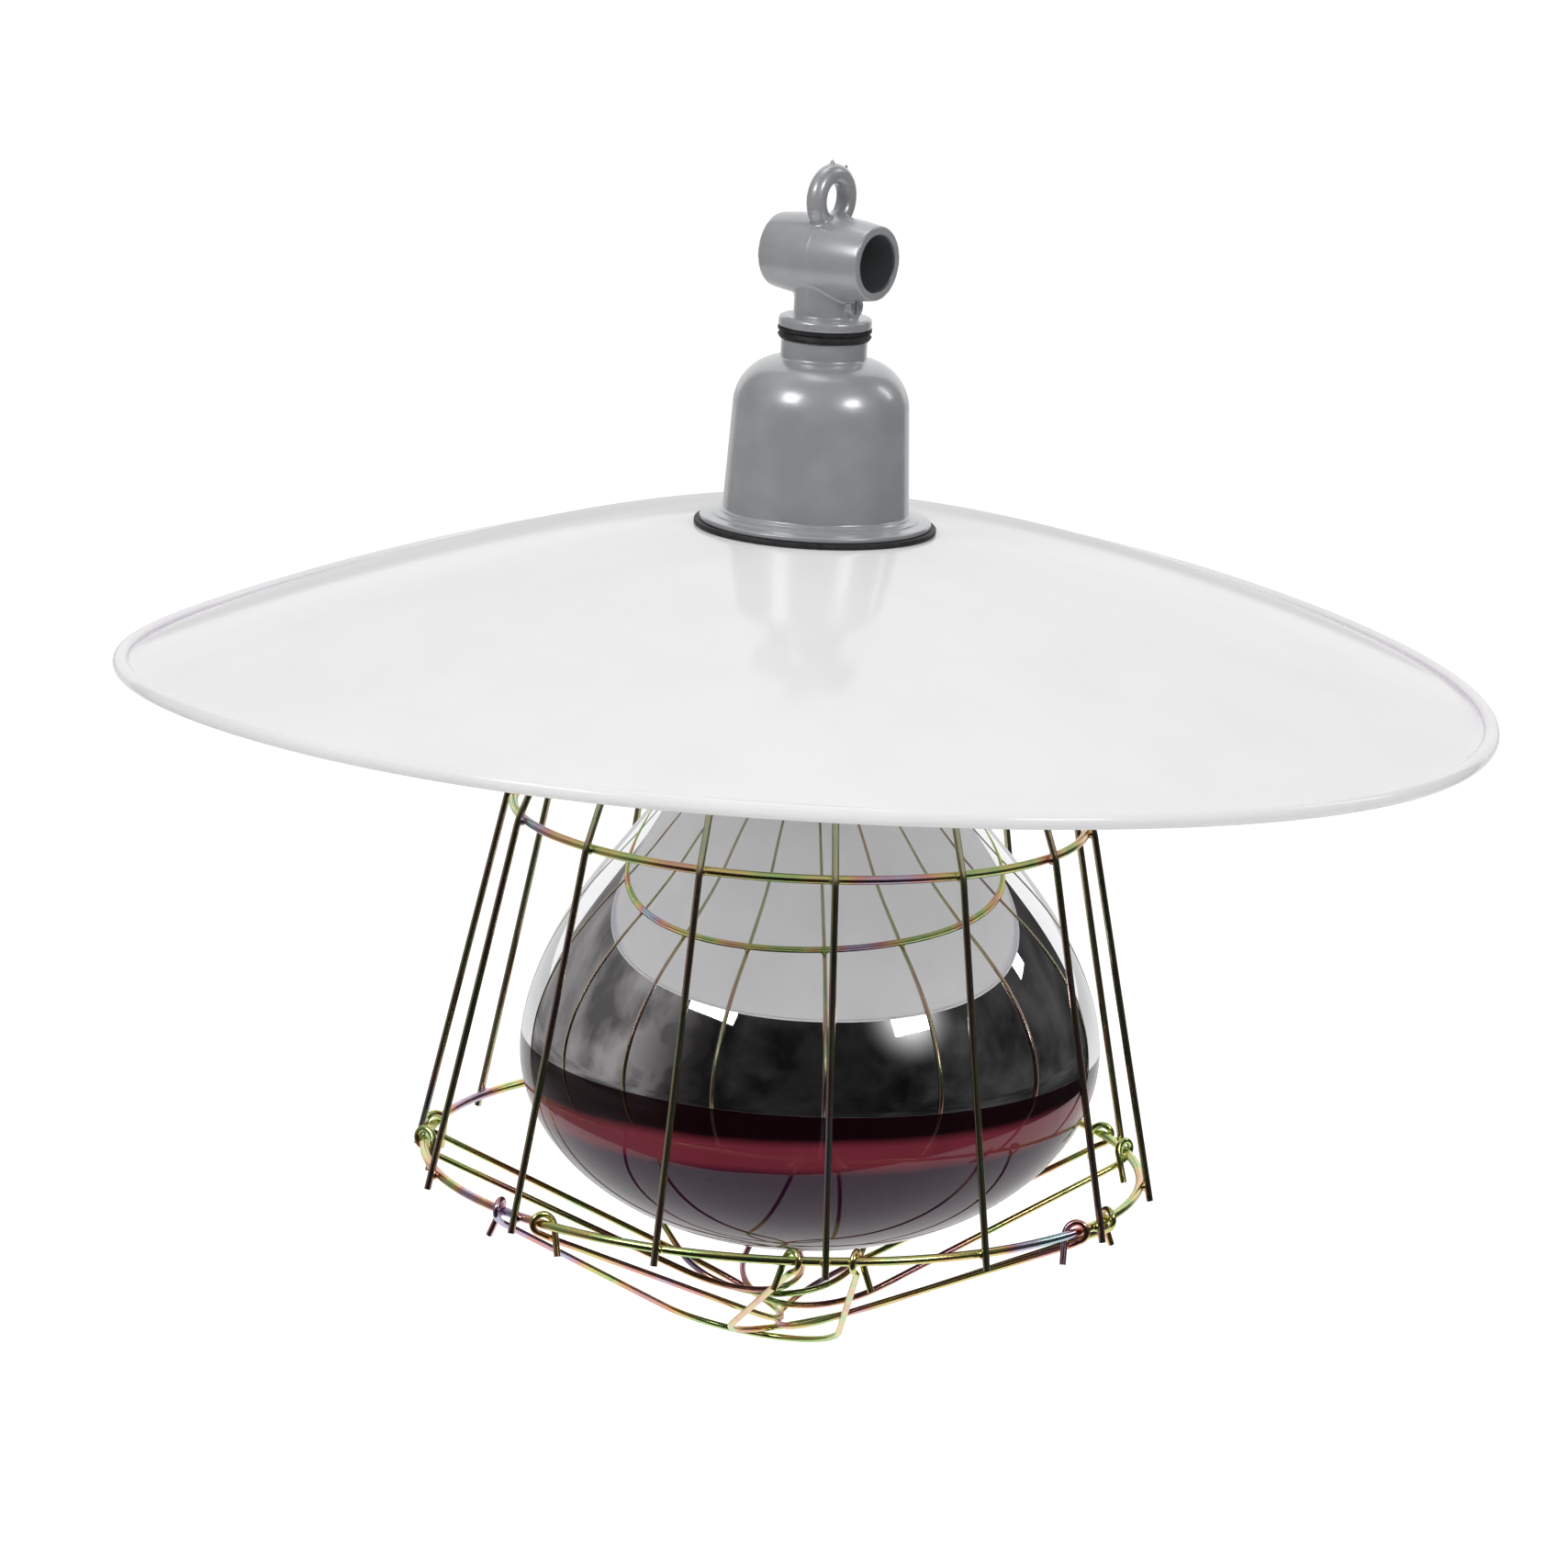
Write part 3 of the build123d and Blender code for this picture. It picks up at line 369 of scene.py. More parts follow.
def mirroredGlass(middle, upward, radius):
    # blown glass silvered on the inside: a near-perfect mirror with a very slight ripple, stained ruby at
    # its foot; the stain ends on a slope through a point above the middle of the lamp's widest line
    look = {
        "tone": ((0.3, "#ebecee"), (0.8, "#f3f3f4")), "stain": "#150509", "roughness": 0.02,
        "filmSize": 12.0, "rippleSize": 26.0, "rippleStrength": 0.05, "rippleDepth": 0.5,
        "stainAbove": 2.85, "stainSoft": 0.015,  # mm above the widest line, and half the width of its edge
        "stainRise": (2.05, 1.15),  # mm over the lamp's radius, on the camera's left and away from the camera
    }
    material, tree = newMaterial("silveredBlownGlass")
    ripple = millimetrePattern(tree, look["rippleSize"], 1)
    film = millimetrePattern(tree, look["filmSize"], 4, seed=2.0)
    tone = addNode(tree, "ShaderNodeValToRGB", {"Fac": film}, look["tone"])
    leftRise, backRise = look["stainRise"]
    slope = upward + (toRight * leftRise + toCamera * backRise) / radius
    place = addNode(tree, "ShaderNodeTexCoord")
    fromMiddle = addNode(tree, "ShaderNodeVectorMath", {
        0: place.outputs["Object"], 1: tuple(middle),
    }, operation="SUBTRACT")
    above = addNode(tree, "ShaderNodeVectorMath", {0: fromMiddle, 1: slope}, operation="DOT_PRODUCT")
    bare = addNode(tree, "ShaderNodeMapRange", {
        "Value": above.outputs["Value"], "From Min": (look["stainAbove"] - look["stainSoft"]) * mm,
        "From Max": (look["stainAbove"] + look["stainSoft"]) * mm,
    })
    stained = addNode(tree, "ShaderNodeMix", {
        "Factor": bare, "A": look["stain"], "B": tone,
    }, data_type="RGBA")
    wave = addNode(tree, "ShaderNodeBump", {
        "Height": ripple, "Strength": look["rippleStrength"], "Distance": look["rippleDepth"] * mm,
    })
    shader = addNode(tree, "ShaderNodeBsdfPrincipled", {
        "Base Color": stained.outputs["Result"], "Metallic": bare, "Roughness": look["roughness"],
        "Normal": wave,
    })
    addNode(tree, "ShaderNodeOutputMaterial", {"Surface": shader})
    return material


def rubyGlass():
    # ruby-stained glass over a dark lamp, by the way down from its widest line: nearly black where the stain
    # starts, then a narrow band of brighter red that is a painted reflection, then deep wine that the floor's
    # reflection turns to a purplish grey
    look = {
        # the brighter red between 0.082 and 0.15 of the way is a painted reflection
        "tone": (
            (0.0, "#150509"), (1.0, "#2b0d28"), (0.05, "#150509"), (0.082, "#762c39"), (0.15, "#762c39"),
            (0.185, "#2b0d28"),
        ),
        "roughness": 0.03, "ior": 1.43,
        "driftSize": 30.0, "drift": 0.012,  # how far the bands stray up and down, as a share of the way
    }
    material, tree = newMaterial("rubyStainedGlass")
    drift = millimetrePattern(tree, look["driftSize"], 2)
    stray = addNode(tree, "ShaderNodeMapRange", {
        "Value": drift, "To Min": -look["drift"], "To Max": look["drift"],
    })
    way = addNode(tree, "ShaderNodeMath", {0: alongMap(tree).outputs["Y"], 1: stray}, operation="ADD")
    tone = addNode(tree, "ShaderNodeValToRGB", {"Fac": way}, look["tone"])
    shader = addNode(tree, "ShaderNodeBsdfPrincipled", {
        "Base Color": tone, "Roughness": look["roughness"], "IOR": look["ior"],
    })
    addNode(tree, "ShaderNodeOutputMaterial", {"Surface": shader})
    return material


def passivatedWire(name, share, seed=0.0):
    # bright zinc with a yellow chromate film: the film's thickness drifts, so gold turns to green, pink and
    # teal; share is how far the thin film's colours fade to grey
    look = {
        "film": (
            (0.28, "#bfe6ea"), (1.0, "#ded9ac"), (0.34, "#d2bfe2"), (0.39, "#f4aaa2"), (0.44, "#fbd287"),
            (0.49, "#e6e487"), (0.53, "#b4dc86"), (0.57, "#ece590"), (0.62, "#f6b980"), (0.68, "#dfa2ae"),
            (0.75, "#b8dedb"),
        ),
        "grey": "#b3b0a6", "roughness": (0.16, 0.27), "driftSize": 34.0, "patchSize": 9.0,
        "patchShare": 0.12,  # of the film's thickness; the rest is drift
        "scuffStrength": 0.08, "scuffDepth": 0.1,
    }
    material, tree = newMaterial(name)
    drift = millimetrePattern(tree, look["driftSize"], 2, seed=seed)
    patch = millimetrePattern(tree, look["patchSize"], 2, seed=seed + 4)
    film = addNode(tree, "ShaderNodeMix", {
        "Factor": look["patchShare"], "A": drift, "B": patch,
    }, data_type="FLOAT")
    grey = np.array(srgb(look["grey"]))
    tone = addNode(tree, "ShaderNodeValToRGB", {"Fac": film.outputs["Result"]}, [
        (place, tuple(np.array(srgb(code)) * (1 - share) + grey * share)) for place, code in look["film"]
    ])
    dull = addNode(tree, "ShaderNodeMapRange", {
        "Value": patch, "To Min": look["roughness"][0], "To Max": look["roughness"][1],
    })
    scuff = addNode(tree, "ShaderNodeBump", {
        "Height": patch, "Strength": look["scuffStrength"], "Distance": look["scuffDepth"] * mm,
    })
    shader = addNode(tree, "ShaderNodeBsdfPrincipled", {
        "Base Color": tone, "Metallic": 1.0, "Roughness": dull, "Normal": scuff,
    })
    addNode(tree, "ShaderNodeOutputMaterial", {"Surface": shader})
    return material


plainLooks = {
    # for each slot: name, light and dark tone, roughness, metallic, and the grain's size and depth in mm
    "plated_steel": ("brightZincSteel", "#b9bab8", "#a3a4a2", 0.3, 1.0, 0.8, 0.05),  # soft bluish-grey shine
    "black_moulding": ("phenolicBlackMoulding", "#262627", "#1a1a1b", 0.4, 0.0, 1.5, 0.1),  # satin black
    "porcelain": ("glazedPorcelain", "#ece8df", "#e2ddd2", 0.12, 0.0, 1.5, 0.1),  # creamy white under glaze
    "brass_parts": ("turnedBrass", "#c9a45a", "#b08c46", 0.3, 1.0, 0.8, 0.05),  # warm yellow, finely turned
    "lamp_cap_metal": ("rolledAluminiumCap", "#c6c7c8", "#b0b1b2", 0.3, 1.0, 0.8, 0.05),  # pale satin metal
    "cap_glass": ("blackCapGlass", "#141416", "#0c0c0e", 0.08, 0.0, 1.5, 0.1),  # glassy black insulator
    "clear_glass": ("lampStemGlass", "#c9cecc", "#bcc2c0", 0.06, 0.0, 1.5, 0.1),  # pale greenish-grey gloss
    "tungsten_wire": ("drawnTungsten", "#7d7d80", "#606064", 0.4, 1.0, 0.8, 0.05),  # dark grey wire
}


def plainFinish(name, light, dark, roughness, metallic, grainSize, grainDepth):
    # two close tones and a fine grain, drawn or turned on a metal, moulded or fired on the rest
    material, tree = newMaterial(name)
    grain = millimetrePattern(tree, grainSize, 4)
    tone = addNode(tree, "ShaderNodeValToRGB", {"Fac": grain}, ((0.3, dark), (0.7, light)))
    relief = addNode(tree, "ShaderNodeBump", {"Height": grain, "Strength": 0.1, "Distance": grainDepth * mm})
    shader = addNode(tree, "ShaderNodeBsdfPrincipled", {
        "Base Color": tone, "Metallic": metallic, "Roughness": roughness, "Normal": relief,
    })
    addNode(tree, "ShaderNodeOutputMaterial", {"Surface": shader})
    return material


greyPaint = castingPaint()
enamel = whiteEnamel()
ruby = rubyGlass()
wireFilm = passivatedWire("yellowPassivatedZinc", 0.15)
uprightFilm = passivatedWire("thinPassivatedZinc", 0.68, seed=9.0)
slotMaterials = {
    "grey_casting": greyPaint, "black_rubber": blackRubber(), "white_enamel": enamel, "mirrored_glass": ruby,
    "ruby_glass": ruby, "guard_wire": wireFilm, "passivated_plate": wireFilm,
    **{slot: plainFinish(*look) for slot, look in plainLooks.items()},
}
for row in frame["record"]["subparts"]:
    paint(frame["nodes"][row["node"]], slotMaterials[row["material_slot"]])
paint(frame["nodes"]["neck_set_screw"], greyPaint)  # painted over with the tee
for name, node in frame["nodes"].items():
    if name.startswith("guard_upright"):
        paint(node, uprightFilm)
print("materials made", len(slotMaterials))


shadeSizes = {
    "hole": 21.6, "flatEnd": 26.0, "beadCentre": 145.7, "beadRadius": 1.7, "sheet": 1.0, "top": -1.2,
    "fall": (19.07, 6.70, 4.67),  # mm down at the rim for each power of the way out
    # the bent rim's ripples, counted from the camera's side: waves per turn, then the cosine and the sine
    # part in mm at the rim
    "ripple": ((1, -1.59, 0.0), (2, 4.55, -1.66), (3, -1.78, 0.14), (4, 0.52, 0.34)),
    "rippleMost": 1.02,  # share of the ripple that the bead's far side may have
    "beadTurn": 142,  # degrees that the bead is rolled, up and down from its outermost line
    "sheetStop": 1.35,  # mm from the bead's centre to the sheet's end
    "columns": 448, "flatRows": 5, "sheetRows": 90, "beadRows": 26,
}


def shadePiece(sizes):
    # height = top minus a cubic of the way out, plus cosine ripples that grow with it; the rolled bead on
    # its edge is most of a circle
    turn = fullTurn(sizes["columns"])
    fromCamera = turn - viewTurn
    flatEnd = sizes["flatEnd"]
    span = sizes["beadCentre"] - flatEnd
    out = np.concatenate([
        np.linspace(sizes["hole"], flatEnd, sizes["flatRows"])[:-1],
        np.linspace(flatEnd, sizes["beadCentre"] - sizes["sheetStop"], sizes["sheetRows"]),
    ])
    way = np.clip((out - flatEnd) / span, 0, 1)
    top = sizes["top"] - sum(depth * way**power for power, depth in enumerate(sizes["fall"], 1))
    rolled = math.radians(sizes["beadTurn"])
    bead = np.linspace(rolled, -rolled, sizes["beadRows"])
    beadOut = sizes["beadCentre"] + sizes["beadRadius"] * np.cos(bead)
    beadTop = sizes["top"] - sum(sizes["fall"]) + sizes["beadRadius"] * np.sin(bead)
    radii = np.concatenate([out, beadOut, out[::-1]])[:, None]
    heights = np.concatenate([top, beadTop, top[::-1] - sizes["sheet"]])[:, None]
    grow = np.clip((radii - flatEnd) / span, 0, sizes["rippleMost"])
    ripple = sum(c * np.cos(n * fromCamera) + s * np.sin(n * fromCamera) for n, c, s in sizes["ripple"])
    grid = roundGrid(radii, heights + ripple * grow, turn)
    return gridPiece("enamelShade", grid * mm + seat, wrapRows=True, wrapColumns=True)


ride(shadePiece(shadeSizes), "fixture", enamel, "white_enamel", "shade")
print("shade made")


bellSizes = {
    # radius, height and rounding of each corner, up the outside to the shoulder
    "skirt": (
        (21.4, -9, 0.3), (21.4, 0, 0.15), (24.6, 0, 0.35), (24.6, 1.1, 0.45), (22.3, 1.45, 0.3),
        (22.0, 1.8, 0.3), (20.5, 2.05, 0.3), (20.25, 2.45, 0.3), (19.8, 2.75, 0.6),
    ),
    # the shoulder's ellipse: middle radius and height, reach out and up, degrees that it turns
    "shoulder": (8.6, 24.5, 10.1, 10.7, 80.0),
    # radius, height and rounding of each corner, over the collar and down the inside
    "collar": (
        (9.1, 35.22, 0.7), (9.1, 39.4, 0.35), (6.05, 39.4, 0.3), (6.05, 33.2, 0.3), (16.9, 32.9, 8.0),
        (17.6, 1.8, 0.3), (18.8, 0.8, 0.3),
    ),
    "start": (18.8, -9), "step": 0.6, "shoulderRows": 40, "columns": 224,
}


def bellPiece(sizes):
    # a closed outline carried round the axis: rounded corners up the skirt, an elliptical shoulder, where
    # radius and height are the middle plus the reaches times cosine and sine, then rounded corners over
    # the collar and down the inside
    middle, base, reachOut, reachUp, sweep = sizes["shoulder"]
    turn = np.radians(np.linspace(0, sweep, sizes["shoulderRows"]))
    shoulder = np.stack([middle + reachOut * np.cos(turn), base + reachUp * np.sin(turn)], axis=1)
    runs = []
    for first, corners, last in (
        (sizes["start"], sizes["skirt"], shoulder[0]), (shoulder[-1], sizes["collar"], sizes["start"]),
    ):
        places = [first, *[corner[:2] for corner in corners], last]
        runs.append(bentPath(places, [corner[2] for corner in corners], sizes["step"]))
    outline = np.concatenate([runs[0][:-1], shoulder, runs[1][1:-1]])
    return turnedPiece("bellCasting", outline, sizes["columns"])


teeSizes = {
    "merge": 1e-6,  # metres within which the modelled tee's loose corners are one
    "voxel": 0.27, "softenShare": 0.5, "softenTimes": 8,
    "tubeBelow": 12.2,  # from the eye's middle, which is at z = 0, to the tube's
    # where the ridge shows: the least distance from each part's own middle line, and its heights
    "neckReach": 5.0, "neckHeights": (-24.6, -18.2), "tubeReach": 7.2, "tubeHeights": (-21.8, -2.5),
    "seamHeight": 0.06, "seamWidth": 0.3, "seamSide": 0.15,
    # scraps of flash round the eye: how far they stand out, the radius they start at and rise over, the
    # height above which they are, and the waves along x, y and z that scatter them, in radians per mm and
    # at 0
    "flash": 0.25, "flashFrom": 7.35, "flashOver": 0.4, "flashAbove": -4,
    "flashWaves": ((11.7, 0.6), (9.1, 2.0), (7.3, 1.0)),
}


def teePiece(sizes):
    # the modelled tee rebuilt as an even skin and softened, so that its joints flow as in a casting; then a
    # fine ridge is raised where the two halves of the die met, its section a bell curve across x
    mesh = frame["nodes"]["hanger_tee"].data.copy()
    work = bmesh.new()
    work.from_mesh(mesh)
    bmesh.ops.remove_doubles(work, verts=work.verts, dist=sizes["merge"])
    work.to_mesh(mesh)
    work.free()
    piece = link("teeCasting", mesh)
    skin = piece.modifiers.new("skin", "REMESH")
    skin.mode = "VOXEL"
    skin.voxel_size = sizes["voxel"] * mm
    soften = piece.modifiers.new("soften", "SMOOTH")
    soften.factor = sizes["softenShare"]
    soften.iterations = sizes["softenTimes"]
    graph = bpy.context.evaluated_depsgraph_get()
    baked = bpy.data.meshes.new_from_object(piece.evaluated_get(graph))
    piece.modifiers.clear()
    piece.data = baked
    points, normals = np.zeros((2, len(baked.vertices) * 3))
    baked.vertices.foreach_get("co", points)
    baked.vertex_normals.foreach_get("vector", normals)
    points = points.reshape(-1, 3) / mm
    normals = normals.reshape(-1, 3)
    x, y, z = points.T
    fromEye = np.hypot(y, z)
    onNeck = np.hypot(x, y) > sizes["neckReach"]
    onTube = np.hypot(y, z + sizes["tubeBelow"]) > sizes["tubeReach"]
    for part, heights in ((onNeck, sizes["neckHeights"]), (onTube, sizes["tubeHeights"])):
        part &= (z > heights[0]) & (z < heights[1])
    ridge = np.exp(-(((x - sizes["seamSide"]) / sizes["seamWidth"]) ** 2))
    lumps = np.clip((fromEye - sizes["flashFrom"]) / sizes["flashOver"], 0, 1) * (z > sizes["flashAbove"])
    for line, (wave, start) in zip((x, y, z), sizes["flashWaves"]):
        lumps = lumps * np.sin(wave * line + start)
    lift = sizes["seamHeight"] * ridge * (onNeck | onTube) + sizes["flash"] * lumps
    points = points + normals * lift[:, None]
    points[:, 2] = np.minimum(points[:, 2], cadHigh.z / mm)  # no scrap stands over the object's own top
    baked.vertices.foreach_set("co", (points * mm).ravel())
    baked.polygons.foreach_set("use_smooth", [True] * len(baked.polygons))
    baked.update()
    return piece


ride(bellPiece(bellSizes), "fixture", greyPaint, "grey_casting", "bell_housing")
ride(teePiece(teeSizes), "fixture", greyPaint, "grey_casting", "hanger_tee")
print("bell and tee made")


lampSizes = {
    "throatRadius": 12.25, "throatTop": -1.9, "throatFoot": -5.1, "neckRadius": 17.4, "neckTop": -15.0,
    "neckFoot": -37.0, "radius": 62.5, "equator": -115.2, "faceDepth": 41.9, "wall": 0.9,
    "swell": ((26.0, -52.0), (37.4, -66.0), (45.9, -76.5), (54.25, -88.8), (60.05, -101.6)),
    "lean": 2.4, "capFoot": -3.6,  # degrees that the glass leans to the camera's right, and where it turns
    "flareRows": 24, "bowlRows": 150, "faceRows": 90, "columns": 256,
}


def smoothRun(points, steps):
    # clamped cubic through the points, vertical at both ends, worked out from chord lengths
    points = np.asarray(points, dtype=float)
    knots = np.concatenate([[0], np.cumsum(np.linalg.norm(np.diff(points, axis=0), axis=1))])
    gaps = np.diff(knots)
    count = len(points)
    system = np.zeros((count, count))
    right = np.zeros((count, 2))
    system[0, 0] = system[-1, -1] = 1
    right[0] = right[-1] = (0, -1)
    inner = np.arange(1, count - 1)
    system[inner, inner - 1] = gaps[1:]
    system[inner, inner] = 2 * (gaps[:-1] + gaps[1:])
    system[inner, inner + 1] = gaps[:-1]
    slopes = np.diff(points, axis=0) / gaps[:, None]
    right[1:-1] = 3 * (gaps[1:, None] * slopes[:-1] + gaps[:-1, None] * slopes[1:])
    speed = np.linalg.solve(system, right)
    t = np.linspace(0, knots[-1], steps)
    k = np.clip(np.searchsorted(knots, t, side="right") - 1, 0, count - 2)
    u = ((t - knots[k]) / gaps[k])[:, None]
    g = gaps[k][:, None]
    return (
        (2 * u**3 - 3 * u**2 + 1) * points[k] + (u**3 - 2 * u**2 + u) * g * speed[k]
        + (3 * u**2 - 2 * u**3) * points[k + 1] + (u**3 - u**2) * g * speed[k + 1]
    )


def insideWall(profile, wall):
    # the profile moved inwards along its normals by the wall
    way = np.gradient(profile, axis=0)
    way /= np.linalg.norm(way, axis=1)[:, None]
    inner = profile + wall * np.stack([way[:, 1], -way[:, 0]], axis=1)
    inner[:, 0] = np.clip(inner[:, 0], 0, None)
    return inner


def lampPieces(sizes):
    # the silvered side, a flare and a bowl with a wall inside them, and the face, half of an ellipse:
    # radius and depth times the cosine and sine of the dip below the widest line; all of it leans about
    # the cap's foot
    tilt = Matrix.Rotation(math.radians(sizes["lean"]), 3, toCamera)
    pivot = np.array([0, 0, sizes["capFoot"]])

    def lean(grid):
        return (grid - pivot) @ np.array(tilt).T + pivot

    throat, neck, radius = sizes["throatRadius"], sizes["neckRadius"], sizes["radius"]
    equator, depth = sizes["equator"], sizes["faceDepth"]
    flare = smoothRun([(throat, sizes["throatFoot"]), (neck, sizes["neckTop"])], sizes["flareRows"])
    bowl = smoothRun([(neck, sizes["neckFoot"]), *sizes["swell"], (radius, equator)], sizes["bowlRows"])
    side = np.concatenate([[(throat, sizes["throatTop"])], flare, bowl])
    wholeSide = np.concatenate([side, insideWall(side, sizes["wall"])[::-1]])
    mirror = turnedPiece("lampMirror", wholeSide, sizes["columns"], lean=lean)
    dip = np.linspace(0, math.pi / 2, sizes["faceRows"])
    outer, inner = (
        np.stack([(radius - gap) * np.cos(dip), equator - (depth - gap) * np.sin(dip)], axis=1)
        for gap in (0, sizes["wall"])
    )
    down = dip / dip[-1]
    way = np.concatenate([down, down[::-1]])
    face = np.concatenate([outer, inner[::-1]])
    front = turnedPiece("lampFront", face, sizes["columns"], lean=lean, way=way)
    middle = lean(np.array([0, 0, equator])) * mm + seat
    return mirror, front, mirroredGlass(middle, tilt @ Vector((0, 0, 1)), radius)


lampMirror, lampFront, silvered = lampPieces(lampSizes)
ride(lampMirror, "lamp", silvered, "mirrored_glass", "bulb_reflector")
ride(lampFront, "lamp", ruby, "ruby_glass", "bulb_front")
print("lamp made")


weldSizes = {
    "count": 14, "first": -46.9, "reach": (1.25, 0.8, 1.15),  # mm along the ring, outwards and up
    "rings": ((61.4 + 0.95, -63.2), (77.5 + 0.95, -140.1)),  # radius and height where the wires touch
    "rows": 8, "columns": 12,
}


def weldPiece(sizes):
    # an ellipsoid at each crossing of an upright and a ring: reach times the sines and cosines of two
    # angles, carried out to the ring and turned to each upright
    turn = fullTurn(sizes["columns"])
    dip = np.linspace(0, math.pi, sizes["rows"])[:, None]
    alongReach, outReach, upReach = sizes["reach"]
    along = alongReach * np.sin(dip) * np.cos(turn)
    outwards = outReach * np.sin(dip) * np.sin(turn)
    up = upReach * np.cos(dip) + 0 * turn
    steps = np.arange(sizes["count"]) * 360 / sizes["count"]
    bearing = np.radians(sizes["first"] + steps)[None, :, None, None]
    radius, height = np.transpose(sizes["rings"]).reshape(2, -1, 1, 1, 1)
    far = radius + outwards
    balls = np.stack([
        far * np.cos(bearing) - along * np.sin(bearing), far * np.sin(bearing) + along * np.cos(bearing),
        height + up + 0 * bearing,
    ], axis=-1).reshape(-1, turn.size * dip.size, 3)
    starts = np.arange(len(balls)) * balls.shape[1]
    corners = gridCorners(sizes["rows"], sizes["columns"], False, True) + starts[:, None, None]
    return quadPiece("weldNuggets", balls.reshape(-1, 3) * mm + seat, corners.reshape(-1, 4))


ride(weldPiece(weldSizes), "fixture", wireFilm, "guard_wire")
print("welds made")


stageSizes = {
    "floorDrop": 0.16, "floorReach": 14.0, "worldDiffuse": 0.42,
    # dark dome of cloth on the camera's side: radius, the degrees that it reaches to each side, the
    # degrees up from and to, rows and columns, and its middle
    "drapeRadius": 2.3, "drapeTurn": 142, "drapeRise": (-8, 86), "drapeGrid": (40, 80),
    "drapeMiddle": (0, 0, -0.12),
    # dark card on the floor: least inner radius, the bearings between which it has that radius, its
    # growth past them for each degree squared, and its outer radius as a share of the dome's
    "cardNear": 0.168, "cardFlat": (-30, -10), "cardOpen": 1.6e-4, "cardFar": 1.05, "cardRows": 12,
    "cardLift": 0.004,
    "glowBearing": 45, "glowRise": 33,  # soft glow on the cloth, round the right softbox
    "lightMiddle": (0, 0, -0.1),
    "lights": (
        # name, bearing from the camera in degrees, elevation, distance, width, height, watts
        ("softboxLeft", -46, 36.5, 1.7, 0.6, 0.56, 9.6),
        ("softboxRight", 45, 30.5, 1.7, 0.46, 0.3, 6.4),
        ("softboxSide", 112, 29, 1.7, 0.2, 0.6, 1.9),
        ("softboxTop", 180, 78, 1.9, 0.9, 0.9, 4.0),
    ),
}


def floorLook():
    # pale paper floor; the camera sees it lifted to white, and mirrors a little of that, with the shadow
    # kept
    look = {
        "tone": ((0.3, "#f0f0f0"), (0.7, "#f3f3f3")), "fibreSize": 40.0, "lift": 0.62, "mirroredLift": 0.25,
    }
    material, tree = newMaterial("palePaperFloor")
    rays = addNode(tree, "ShaderNodeLightPath")
    fibre = millimetrePattern(tree, look["fibreSize"], 3)
    tone = addNode(tree, "ShaderNodeValToRGB", {"Fac": fibre}, look["tone"])
    paper = addNode(tree, "ShaderNodeBsdfDiffuse", {"Color": tone})
    mirrored = addNode(tree, "ShaderNodeMath", {
        0: rays.outputs["Is Glossy Ray"], 1: look["mirroredLift"],
    }, operation="MULTIPLY")
    white = addNode(tree, "ShaderNodeMath", {
        0: rays.outputs["Is Camera Ray"], 1: look["lift"], 2: mirrored,
    }, operation="MULTIPLY_ADD")
    lift = addNode(tree, "ShaderNodeEmission", {"Color": "#ffffff", "Strength": white})
    both = addNode(tree, "ShaderNodeAddShader", {0: paper, 1: lift})
    addNode(tree, "ShaderNodeOutputMaterial", {"Surface": both})
    return material


def roomLook(glowPlace):
    # a dim room hung with dark cloth, seen only in reflections: blotchy, pale on the camera's left and
    # brighter higher up, with a soft glow round one place
    look = {
        "blotchSize": 620.0, "blotch": ((0.35, "#8f8f8f"), (0.7, "#ffffff")),
        # colours round the room from the camera's left, and how far blotches shift them, as a share of
        # the turn
        "round": (
            (0.0, "#a3a09f"), (1.0, "#555354"), (0.26, "#9b9798"), (0.31, "#464344"), (0.36, "#1f1e1e"),
            (0.46, "#2f2e2e"), (0.60, "#252425"), (0.78, "#454445"),
        ),
        "stray": 0.10,
        "brighter": (0.35, 0.85, 2.2),  # radians up between which the cloth brightens, and how many times
        "glowReach": 0.85, "glow": 1.31, "glowFall": 2.6,  # metres, strength and its power of the way in
    }
    material, tree = newMaterial("dimStudioRoom")
    blotch = millimetrePattern(tree, look["blotchSize"], 4)
    along = alongMap(tree)
    stray = addNode(tree, "ShaderNodeMapRange", {
        "Value": blotch, "To Min": -look["stray"], "To Max": look["stray"],
    })
    way = addNode(tree, "ShaderNodeMath", {0: along.outputs["X"], 1: stray}, operation="ADD")
    room = addNode(tree, "ShaderNodeValToRGB", {"Fac": way}, look["round"])
    shade = addNode(tree, "ShaderNodeValToRGB", {"Fac": blotch}, look["blotch"])
    tone = addNode(tree, "ShaderNodeMix", {
        "Factor": 1.0, "A": room, "B": shade,
    }, data_type="RGBA", blend_type="MULTIPLY")
    riseFrom, riseTo, times = look["brighter"]
    high = addNode(tree, "ShaderNodeMapRange", {
        "Value": along.outputs["Y"], "From Min": riseFrom, "From Max": riseTo, "To Min": 1.0, "To Max": times,
    })
    where = addNode(tree, "ShaderNodeTexCoord")
    away = addNode(tree, "ShaderNodeVectorMath", {
        0: where.outputs["Object"], 1: tuple(glowPlace),
    }, operation="DISTANCE")
    near = addNode(tree, "ShaderNodeMapRange", {
        "Value": away.outputs["Value"], "From Max": look["glowReach"], "To Min": look["glow"], "To Max": 0.0,
    })
    fade = addNode(tree, "ShaderNodeMath", {0: near, 1: look["glowFall"]}, operation="POWER")
    wall = addNode(tree, "ShaderNodeEmission", {"Color": tone.outputs["Result"], "Strength": high})
    halo = addNode(tree, "ShaderNodeEmission", {"Color": "#ffffff", "Strength": fade})
    both = addNode(tree, "ShaderNodeAddShader", {0: wall, 1: halo})
    addNode(tree, "ShaderNodeOutputMaterial", {"Surface": both})
    return material


